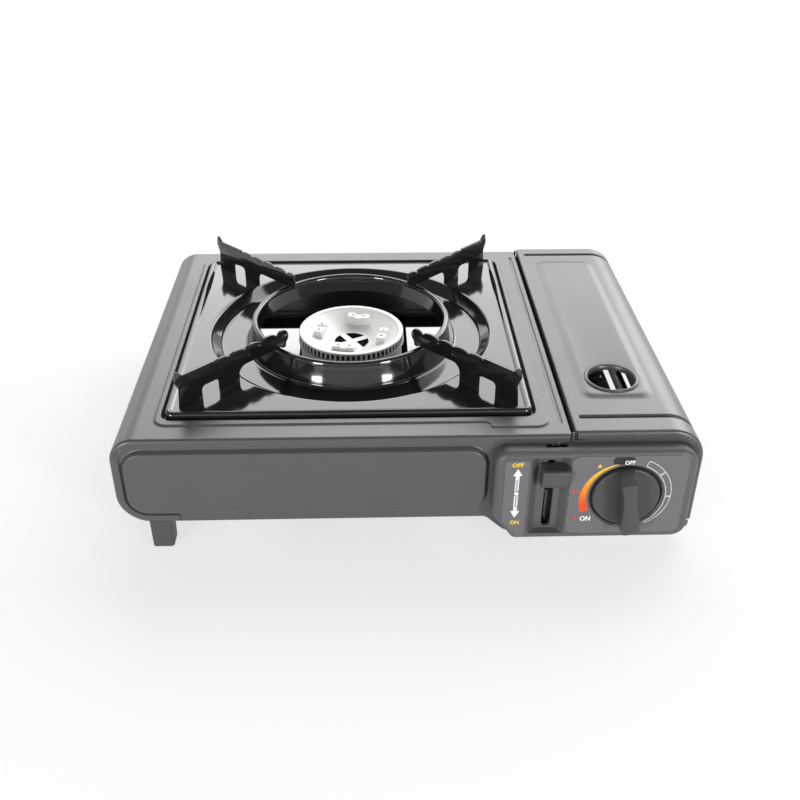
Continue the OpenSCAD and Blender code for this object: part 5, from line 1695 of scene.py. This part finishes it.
@dataclass
class LockButton:
    """Sliding button with a ribbed top and a slanted lower front."""

    x: Point = (75.4, 91.0)
    back: float = -122.55
    foot_x: float = 86.6
    steep: float = 1.04
    profile: tuple[Point, ...] = (
        (-122.55, 49.3), (-122.55, 63.9), (-124.2, 63.9), (-131.7, 62.6), (-132.0, 57.4), (-128.6, 49.9))
    turn_low_z: float = 49.6
    edge: float = 0.45
    ribs: int = 10
    rib_step: float = 1.35
    rib_inset: float = 0.9
    rib_section: tuple[Point, ...] = (
        (-0.32, 0.0), (-0.32, 0.4), (-0.15, 0.62), (0.15, 0.62), (0.32, 0.4), (0.32, 0.0))

    def right_edge(self, y: float) -> float:
        """Right limit of the button at a depth, drawn in along the trough's flank."""
        return min(self.x[1], self.foot_x + (self.back - y) / self.steep)

    def build(self) -> None:
        """Make the button."""
        turn_y = self.back - (self.x[1] - self.foot_x) * self.steep
        points = [(x, y, z) for y, z in self.profile for x in (self.x[0], self.right_edge(y))]
        (y2, z2), (y3, z3) = self.profile[2:4]
        turn_z = z2 + (z3 - z2) * (turn_y - y2) / (y3 - y2)
        points += [(self.x[1], turn_y, turn_z), (self.x[1], turn_y, self.turn_low_z)]
        body = ease_edges(hull("button_body", points), self.edge)
        slope = math.atan2(z2 - z3, y2 - y3)
        c, s = math.cos(slope), math.sin(slope)
        length = math.hypot(z2 - z3, y2 - y3) - 2 * self.rib_inset
        rib = loft("button_rib", [[(x, -t * c - h * s, h * c - t * s) for x, h in self.rib_section]
                                  for t in (0.0, length)])
        first = sum(self.x) / 2 - (self.ribs - 1) * self.rib_step / 2
        start = (first, y2 - self.rib_inset * c, z2 - self.rib_inset * s - 0.1)
        ribs = repeat.make("button_ribs", rib, "button_plastic", count=self.ribs, start=start,
                           step=(self.rib_step, 0.0, 0.0))
        button = joined("lock_button_moulding", body, ribs)
        publish(smooth(button, 30.0), Body.LEVER, Slot.PLASTIC, "button_plastic", "lock_button")


@dataclass
class PanelMarks:
    """Plain marks on the films: words for the two states, an arrow, the flame scale and a dial."""

    face_y: float = -127.55
    sunk: float = 0.04
    proud: float = 0.05
    word_lift: float = 0.06
    film_x: Point = (54.1, 68.2)
    film_z: Point = (13.4, 68.7)
    film_cut: Point = (8.7, 12.1)
    film_r: Point = (1.5, 2.4)
    film_t: float = 0.3
    line: float = 0.3
    lever_x: float = 61.6
    heads: tuple[Point, Point] = ((58.0, 62.9), (32.6, 27.6))
    head_w: float = 2.7
    stems: Point = (56.6, 34.0)
    stem_size: Point = (2.2, 3.0)
    middle: Point = (45.3, 1.3)
    dot_r: float = 0.54
    dot_side: float = 0.7
    dot_rows: Point = (36.3, 47.6)
    dot_count: int = 7
    dot_step: float = 1.15
    flame_r: Point = (23.5, 23.75)
    flame_w: float = 4.5
    flame_turn: Point = (106.0, 98.0)
    flame_steps: int = 28
    scale_in: float = 22.9
    scale_reach: tuple[Point, ...] = ((-56.0, 24.3), (-22.0, 25.8), (-1.0, 26.2), (39.0, 27.0), (67.0, 27.2))
    scale_limits: tuple[Point, ...] = ((-56.0, -1.4), (-1.0, 38.6), (39.4, 67.0))
    low_flame: Point3 = (108.1, 64.2, 1.35)
    high_flames: tuple[Point3, ...] = ((95.0, 46.4, 1.15), (97.5, 46.4, 1.15))
    spark_tick: tuple[Point, ...] = ((96.9, 25.2), (97.6, 25.2), (98.4, 27.9), (97.5, 27.9))
    off_patch: tuple[float, ...] = (121.9, 67.7, 12.4, 5.2, 2.2)
    lever_words: tuple[tuple[str, Point, float, float], ...] = (
        ("OFF", (61.3, 65.6), 2.9, 6.6), ("ON", (61.9, 24.0), 2.8, 5.2))
    dial_words: tuple[tuple[str, Point, float, float], ...] = (
        ("ON", (103.5, 26.2), 3.5, 6.2), ("OFF", (125.2, 66.3), 2.9, 5.9))

    def place(self, u: float, v: float, h: float) -> Point3:
        """Set flat x and z on the films' face."""
        return front_point(self.face_y, u, v, h)

    def patch(self, name: str, loop: Loop) -> Obj:
        """A filled mark."""
        return prism(name, loop, self.place, -self.sunk, self.proud)

    def ribbon(self, name: str, inner: Loop, outer: Loop) -> Obj:
        """A mark between two lines with as many points."""
        return loft(name, [[self.place(*a, self.proud), self.place(*b, self.proud), self.place(*b, -self.sunk),
                            self.place(*a, -self.sunk)] for a, b in zip(inner, outer)])

    def outlined(self, name: str, loop: Loop) -> Obj:
        """Draw an outline as a thin closed line.

        Args:
            name: the object's name.
            loop: the anticlockwise outline.

        Returns:
            The line as a closed mesh.
        """
        inner, n = offset_loop(loop, self.line), len(loop)
        points = [self.place(x, z, h) for row, h in (
            (loop, -self.sunk), (loop, self.proud), (inner, self.proud), (inner, -self.sunk)) for x, z in row]
        faces = [(i * n + k, i * n + (k + 1) % n, (i + 1) % 4 * n + (k + 1) % n, (i + 1) % 4 * n + k)
                 for i in range(4) for k in range(n)]
        return outward(mesh_object(name, points, faces))

    def word(self, text: str, at: Point, height: float, width: float) -> Obj:
        """Set a plain word.

        Args:
            text: the word.
            at: x and z of its middle.
            height: height of its letters.
            width: width of the word.

        Returns:
            The word as a mesh.
        """
        curve = bpy.data.curves.new(text, "FONT")
        curve.body, curve.extrude, curve.offset, curve.resolution_u = text, 0.04, 0.03, 3
        mesh = evaluated_mesh(linked("word_" + text, curve))
        bpy.data.curves.remove(curve)
        flat = np.array([v.co for v in mesh.vertices])
        low, high = flat.min(0), flat.max(0)
        scale = np.array([width, height, self.sunk + self.proud]) / (high - low)
        spread = (flat - (low + high) / 2) * scale
        middle = (self.proud - self.sunk) / 2
        points = [self.place(at[0] + x, at[1] + z, middle + h) for x, z, h in spread]
        faces = [tuple(polygon.vertices) for polygon in mesh.polygons]
        bpy.data.meshes.remove(mesh)
        return outward(mesh_object("word_" + text, points, faces))

    def dial(self, radius: float, angle: float) -> Point:
        """A point of the dial by radius and angle in degrees from the knob's axis."""
        return polar(PLAN.knob_x, PLAN.knob_z, radius, math.radians(angle))

    def chevron(self, x: float, z: float, size: float) -> Obj:
        """A small pointed mark."""
        right = [(0.0, -0.1 * size), (0.45 * size, -size), (size, -size), (0.0, size)]
        return self.patch("chevron", [(x + u, z + v) for u, v in mirrored(right[1:3]) + right])

    def mark(self, obj: Obj, finish: str) -> None:
        """Publish a mark on the films."""
        publish(obj, Body.STOVE, Slot.FILM, finish)

    def lever_film(self) -> None:
        """Make the printed ground beside the lever, with rounded corners."""
        (x0, x1), (z0, z1), (low_r, top_r) = self.film_x, self.film_z, self.film_r
        loop = fillet_loop([(x0 + self.film_cut[0], z0, low_r), (x1, z0, low_r), (x1, z1, top_r), (x0, z1, top_r),
                            (x0, z0 + self.film_cut[1], low_r)])
        film = prism("lever_ground", loop, self.place, -self.film_t, 0.0)
        publish(film, Body.STOVE, Slot.FILM, "printed_film", "lever_film")

    def lever_marks(self) -> None:
        """Make the words, the double arrow and its dotted shaft beside the lever."""
        x, w = self.lever_x, self.head_w
        heads = [self.patch("arrow_head", [(x - side, z), (x + side, z), (x, tip)])
                 for z, tip in self.heads for side in [math.copysign(w, tip - z)]]
        stems = [self.patch("arrow_stem", rounded_box(x, z, *self.stem_size, 0.1)) for z in self.stems]
        disc = self.patch("arrow_middle", circle(x, *self.middle, 24))
        dots = []
        for side in (-self.dot_side, self.dot_side):
            for z in self.dot_rows:
                dot = self.patch("dot", circle(0, 0, self.dot_r, 10))
                dot.data.transform(Matrix.Translation((0, -self.face_y * MM, 0)))
                dots.append(repeat.make("shaft_dots", dot, "white_ink", count=self.dot_count,
                                        start=(x + side, self.face_y, z + 0.3 * side),
                                        step=(0.0, 0.0, self.dot_step)))
        self.mark(joined("lever_arrow", *heads, *stems, disc, *dots), "white_ink")
        words = [self.word(*word) for word in self.lever_words]
        self.mark(joined("lever_words", *words), "yellow_ink")

    def dial_marks(self) -> None:
        """Make the words, the flame scale and the outlined scale round the knob."""
        (first, sweep), steps, (inner_r, outer_r) = self.flame_turn, self.flame_steps, self.flame_r
        turns = [first + sweep * k / steps for k in range(steps + 1)]
        inner = [self.dial(inner_r, t) for t in turns]
        outer = [self.dial(outer_r + self.flame_w * (k / steps) ** 0.9, t) for k, t in enumerate(turns)]
        self.mark(self.ribbon("flame_scale", inner, outer), "warm_ink")
        self.mark(joined("low_flame_mark", self.chevron(*self.low_flame)), "yellow_ink")
        tick = self.patch("spark_tick", list(self.spark_tick))
        pair = [self.chevron(*at) for at in self.high_flames]
        self.mark(joined("high_flame_marks", *pair, tick), "red_ink")
        # a plain near-black rounded patch above the knob, behind the OFF word
        self.mark(self.patch("dark_ground", rounded_box(*self.off_patch)), "dark_ink")
        parts = []
        for low, high in self.scale_limits:
            count = max(6, int((high - low) / 4))
            turns = [low + (high - low) * k / count for k in range(count + 1)]
            far = [self.dial(float(np.interp(t, *zip(*self.scale_reach))), t) for t in turns]
            near = [self.dial(self.scale_in, t) for t in reversed(turns)]
            parts.append(self.outlined("dial_segment", far + near))
        words = [self.word(*word) for word in self.dial_words]
        for word in words:
            word.data.transform(Matrix.Translation((0, -self.word_lift * MM, 0)))
        self.mark(joined("dial_words_and_scale", *parts, *words), "white_ink")

    def build(self) -> None:
        """Make all marks."""
        self.lever_film()
        self.lever_marks()
        self.dial_marks()


# ---------------------------------------------------------------- tray and arms


@dataclass
class DripTray:
    """Enamelled tray: rolled rim and skirt, flat, round dish and raised collar with its bead."""

    side: float = 215.0
    corner_r: float = 5.0
    skirt: float = 7.4
    rim_h: float = 1.8
    dish_r: float = 93.3
    dish_deep: float = 6.8
    foot_r: float = 69.2
    collar_r: float = 63.6
    bead_r: float = 2.1
    bead_top: float = 9.6
    inner_low: float = -3.0
    seam: float = 1.6
    thick: float = 0.9
    count: int = 120

    def profile(self) -> list[Point]:
        """Draw the section from the dish's edge over the collar to the foot of its inner wall.

        Returns:
            Pairs of radius and height.
        """
        r, d, foot, bead = self.dish_r, self.dish_deep, self.foot_r, self.bead_r
        floor, bead_z, inner = r - d, self.bead_top - bead, self.collar_r - bead
        line = [(r + self.seam, 0.0), (r + 1.0, 0.0), (r + 0.4, -0.16), (r - 0.3, -0.6), (r - 1.2, -1.45),
                (floor + 1.4, 1.4 - d), (floor + 0.6, 0.68 - d), (floor - 0.2, 0.2 - d), (floor - 1.1, -d),
                (floor - 1.8, -d), (foot + 2.6, -d), (foot + 1.9, -d), (foot + 1.0, 0.2 - d),
                (foot + 0.3, 0.75 - d), (foot - 0.15, 1.6 - d), (self.collar_r + bead + 0.15, bead_z - 0.8)]
        line += [polar(self.collar_r, bead_z, bead, math.radians(20 * k)) for k in range(10)]
        return line + [(inner, bead_z - 0.8), (inner, self.inner_low + 0.4), (inner, self.inner_low)]

    def build(self) -> None:
        """Make the tray."""
        x, y, z, s = PLAN.tray_x, PLAN.tray_y, PLAN.tray_z, self.skirt
        outline = rounded_box(x, y, self.side, self.side, self.corner_r)
        rim = [(0.0, 0.0), (0.02, s - 0.5), (0.2, s + 0.5), (0.65, s + 1.2), (1.3, s + 1.65), (2.1, s + self.rim_h),
               (2.9, s + 1.6), (3.6, s + 1.1), (4.3, s + 0.5), (5.0, s + 0.12), (5.7, s), (6.3, s)]
        hole = circle(x, y, self.dish_r + self.seam, self.count)
        square = PressedSheet(outline, [Pressing(outline, rim)], [hole]).make(
            "tray_square", partial(level_point, z - s))
        dish = loft("tray_dish", lathe_rings(self.profile(), (x, y, z), self.count), closed_ends=False)
        whole = joined("drip_tray_pressing", square, dish)
        with editing(whole.data) as bm:
            bmesh.ops.remove_doubles(bm, verts=bm.verts, dist=5e-6)
            bmesh.ops.recalc_face_normals(bm, faces=bm.faces)
            _, highest_normal = max((face.calc_center_median().z, face.normal.z) for face in bm.faces)
            if highest_normal < 0:
                bmesh.ops.reverse_faces(bm, faces=bm.faces)
        publish(smooth(thicken(whole, self.thick)), Body.TRAY, Slot.ENAMEL, "black_enamel", "drip_tray")


@dataclass
class SupportArms:
    """The four enamelled arms that carry a pan."""

    thick: float = 1.6
    edge: float = 0.4
    reach: float = 140.57
    top: float = 21.2
    horn: float = 24.5
    root: tuple[Point, ...] = ((58.3, 8.6), (61.0, 8.6), (61.0, 9.61))
    knee: Point3 = (90.0, 3.61, 6.0)
    arch: tuple[Point3, Point3] = ((114.0, 5.3, 3.0), (121.0, 5.3, 3.0))
    tip: Point3 = (60.3, 16.0, 4.8)
    scallop_x: float = 65.7
    pitch: float = 12.1
    scallops: int = 4
    deep: float = 1.8
    angles: tuple[tuple[str, float], ...] = (
        ("front_left", 225.0), ("front_right", 315.0), ("rear_left", 135.0), ("rear_right", 45.0))

    def outline(self) -> Loop:
        """Draw an arm: distance from the tray's centre and height above its flat.

        Returns:
            The outline.
        """
        r, top, low, horn = self.reach, self.top, self.top - self.deep - 0.5, self.horn
        (knee_x, _, knee_r), (near, far) = self.knee, self.arch
        loop = [*self.root, *arc(*self.knee, 90.0, 0.0, 15.0), (knee_x + knee_r, 0.0), (near[0] - near[2], 0.0)]
        loop += arc(*near, 180.0, 90.0, 15.0) + arc(*far, 90.0, 0.0, 15.0)
        loop += [(far[0] + far[2], 0.0), (r, 0.0), (r - 1.2, top - 9.0), (r + 1.4, horn - 6.0), (r + 0.4, horn),
                 (r - 1.0, horn), (r - 4.0, top), (self.scallop_x + self.scallops * self.pitch, top)]
        crown = (self.pitch ** 2 / 4 + self.deep ** 2) / (2 * self.deep)
        spread = math.degrees(math.asin(self.pitch / 2 / crown))
        for i in reversed(range(self.scallops)):
            scallop = arc(self.scallop_x + (i + 0.5) * self.pitch, top - crown, crown, 90.0 - spread,
                          90.0 + spread, 8.0)
            loop += scallop if i == self.scallops - 1 else scallop[1:]
        tx, tz, tr = self.tip
        loop += [(self.scallop_x, low)]
        return loop + arc(tx, tz, tr, math.degrees(math.asin((low - tz) / tr)), 234.0, 12.0)

    @staticmethod
    def place(angle: float, u: float, v: float, h: float) -> Point3:
        """Set distance and height on the tray's flat at an angle in radians."""
        x, y = turned((u, h), angle)
        return PLAN.tray_x + x, PLAN.tray_y + y, PLAN.tray_z + v

    def build(self) -> None:
        """Make the arms."""
        loop, half = self.outline(), self.thick / 2
        for name, angle in self.angles:
            place = partial(self.place, math.radians(angle))
            arm = ease_edges(prism(f"support_arm_{name}", loop, place, -half, half), self.edge)
            publish(smooth(arm), Body.TRAY, Slot.ENAMEL, "black_enamel", f"support_{name}")


# ---------------------------------------------------------------- studio


@dataclass
class Studio:
    """Pale floor, soft lamps and the camera at the photograph's angle."""

    camera_at: Point3 = (-21.8, -569.25, 390.7)
    pitch: float = 32.386
    yaw: float = 2.054
    roll: float = 0.398
    lens: float = 43.66
    sensor: float = 36.0
    clip_m: Point = (0.01, 50.0)
    floor_reach: float = 9000.0
    far_wall_h: float = 4400.0
    wall_y: float = 2700.0
    wall_h: float = 700.0
    sweep_r: float = 300.0
    floor_tone: Point3 = (0.30, 0.30, 0.304)
    floor_rough: float = 0.8
    floor_glow: Point = (0.42, 0.67)
    sky: float = 0.20
    aim_m: Point3 = (0.0, 0.0, 0.06)
    lamps: tuple[tuple[str, Point3, Point, float], ...] = (
        ("rear_softbox", (0.6, 1.6, 1.5), (3.4, 1.9), 71.0),
        ("left_softbox", (-1.5, 1.9, 0.75), (1.3, 1.0), 4.8),
        ("right_softbox", (1.5, 1.75, 0.8), (1.4, 1.1), 12.0),
        ("front_left_lamp", (-0.92, -1.25, 0.36), (0.28, 0.42), 11.0),
        ("front_right_lamp", (0.92, -1.25, 0.36), (0.28, 0.42), 11.0))

    def camera(self) -> None:
        """Set up the camera."""
        data = bpy.data.cameras.new("studio_camera")
        data.lens, data.sensor_width, data.sensor_fit = self.lens, self.sensor, "HORIZONTAL"
        data.clip_start, data.clip_end = self.clip_m
        p, y, r = (math.radians(a) for a in (self.pitch, self.yaw, self.roll))
        ahead = Vector((math.sin(y) * math.cos(p), math.cos(y) * math.cos(p), -math.sin(p)))
        right = Vector((math.cos(y), -math.sin(y), 0.0))
        up = right.cross(ahead)
        side, top = math.cos(r) * right + math.sin(r) * up, math.cos(r) * up - math.sin(r) * right
        turn = Matrix((side, top, -ahead)).transposed().to_4x4()
        camera = linked("studio_camera", data)
        camera.matrix_world = Matrix.Translation(Vector(self.camera_at) * MM) @ turn
        bpy.context.scene.camera = camera

    def lamp(self, name: str, at: Point3, size: Point, watts: float) -> None:
        """Add a soft rectangular lamp that is aimed at the stove.

        Args:
            name: the lamp's name.
            at: its place in metres.
            size: its width and height in metres.
            watts: its power.
        """
        data = bpy.data.lights.new(name, "AREA")
        data.shape, data.energy, (data.size, data.size_y) = "RECTANGLE", watts, size
        lamp = linked(name, data)
        lamp.location = at
        lamp.rotation_euler = (Vector(self.aim_m) - Vector(at)).to_track_quat("-Z", "Y").to_euler()

    @staticmethod
    def seen(tree: NodeTree, lit: float, shown: float) -> Socket:
        """Give a strength that differs between lighting and what the camera and mirror-like surfaces see.

        Args:
            tree: the floor material's tree.
            lit: strength for light that falls on the stove.
            shown: strength for camera, glossy and transmission rays.

        Returns:
            The strength's socket.
        """
        rays = tree.add("ShaderNodeLightPath").outputs
        direct = tree.maths("ADD", rays["Is Camera Ray"], rays["Is Glossy Ray"], clamp=True)
        every = tree.maths("ADD", direct, rays["Is Transmission Ray"], clamp=True)
        return tree.ramp(every, 0.0, 1.0, (lit, shown))

    def floor(self) -> None:
        """Lay the pale floor, with a cove behind the stove and far walls all round."""
        far, high, sweep, start = self.floor_reach, self.far_wall_h, self.sweep_r, self.wall_y - self.sweep_r
        line = [(-far, 0.0), (start, 0.0), *((start + y, sweep + z) for y, z in arc(0, 0, sweep, -90, 0)),
                (self.wall_y, self.wall_h)]
        points = [(x, y, z) for y, z in line for x in (-far, far)]
        faces = [(2 * k, 2 * k + 1, 2 * k + 3, 2 * k + 2) for k in range(len(line) - 1)]
        corners, first = ((-far, -far), (far, -far), (far, far), (-far, far)), len(points)
        points += [(x, y, z) for x, y in corners for z in (0.0, high)]
        lows = [first + 2 * k for k in range(len(corners))]
        faces += [(low, after, after + 1, low + 1) for low, after in zip(lows, lows[1:] + lows[:1])]
        floor = mesh_object("pale_floor", points, faces)
        made = bpy.data.materials.new("pale_floor")
        made.use_nodes = True
        tree, shader = NodeTree(made.node_tree), made.node_tree.nodes["Principled BSDF"]
        for key, value in {"Base Color": self.floor_tone, "Roughness": self.floor_rough, "Specular IOR Level": 0.0,
                           "Emission Color": (1.0, 1.0, 1.0),
                           "Emission Strength": self.seen(tree, *self.floor_glow)}.items():
            tree.feed(shader.inputs[key], value)
        floor.data.materials.append(made)

    def world(self) -> None:
        """Light the scene softly from all round."""
        world = bpy.data.worlds.new("studio_world")
        bpy.context.scene.world = world
        world.use_nodes = True
        back = world.node_tree.nodes["Background"]
        back.inputs["Color"].default_value = (1.0, 1.0, 1.0, 1.0)
        back.inputs["Strength"].default_value = self.sky

    def build(self) -> None:
        """Set up camera, lamps, floor and colour handling."""
        self.camera()
        for lamp in self.lamps:
            self.lamp(*lamp)
        self.floor()
        self.world()
        bpy.context.scene.view_settings.view_transform = "Standard"


def main() -> None:
    """Build the stove's looks and the studio round it."""
    logging.basicConfig(level=logging.INFO, format="%(message)s")
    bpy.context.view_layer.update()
    palette.dress_nodes()
    for assembly in (
            BodyShell(), CartridgeLid(), EndSheet("front_sheet", 3.0), EndSheet("rear_sheet", 1.0, rear=True),
            FlangeCrimps("lid_corner_folds", Body.LID, (151.0, 61.0), 20.0, 16.0, 10),
            FlangeCrimps("deck_corner_folds", Body.STOVE, (-156.0, 64.0), 15.0, 98.0, 9),
            ControlPanel(), LockButton(), ControlKnob(), PanelMarks(), BurnerHead(), TallFeet(), ShieldFoot(),
            DripTray(), SupportArms(), Studio()):
        assembly.build()


if __name__ == "__main__":
    main()
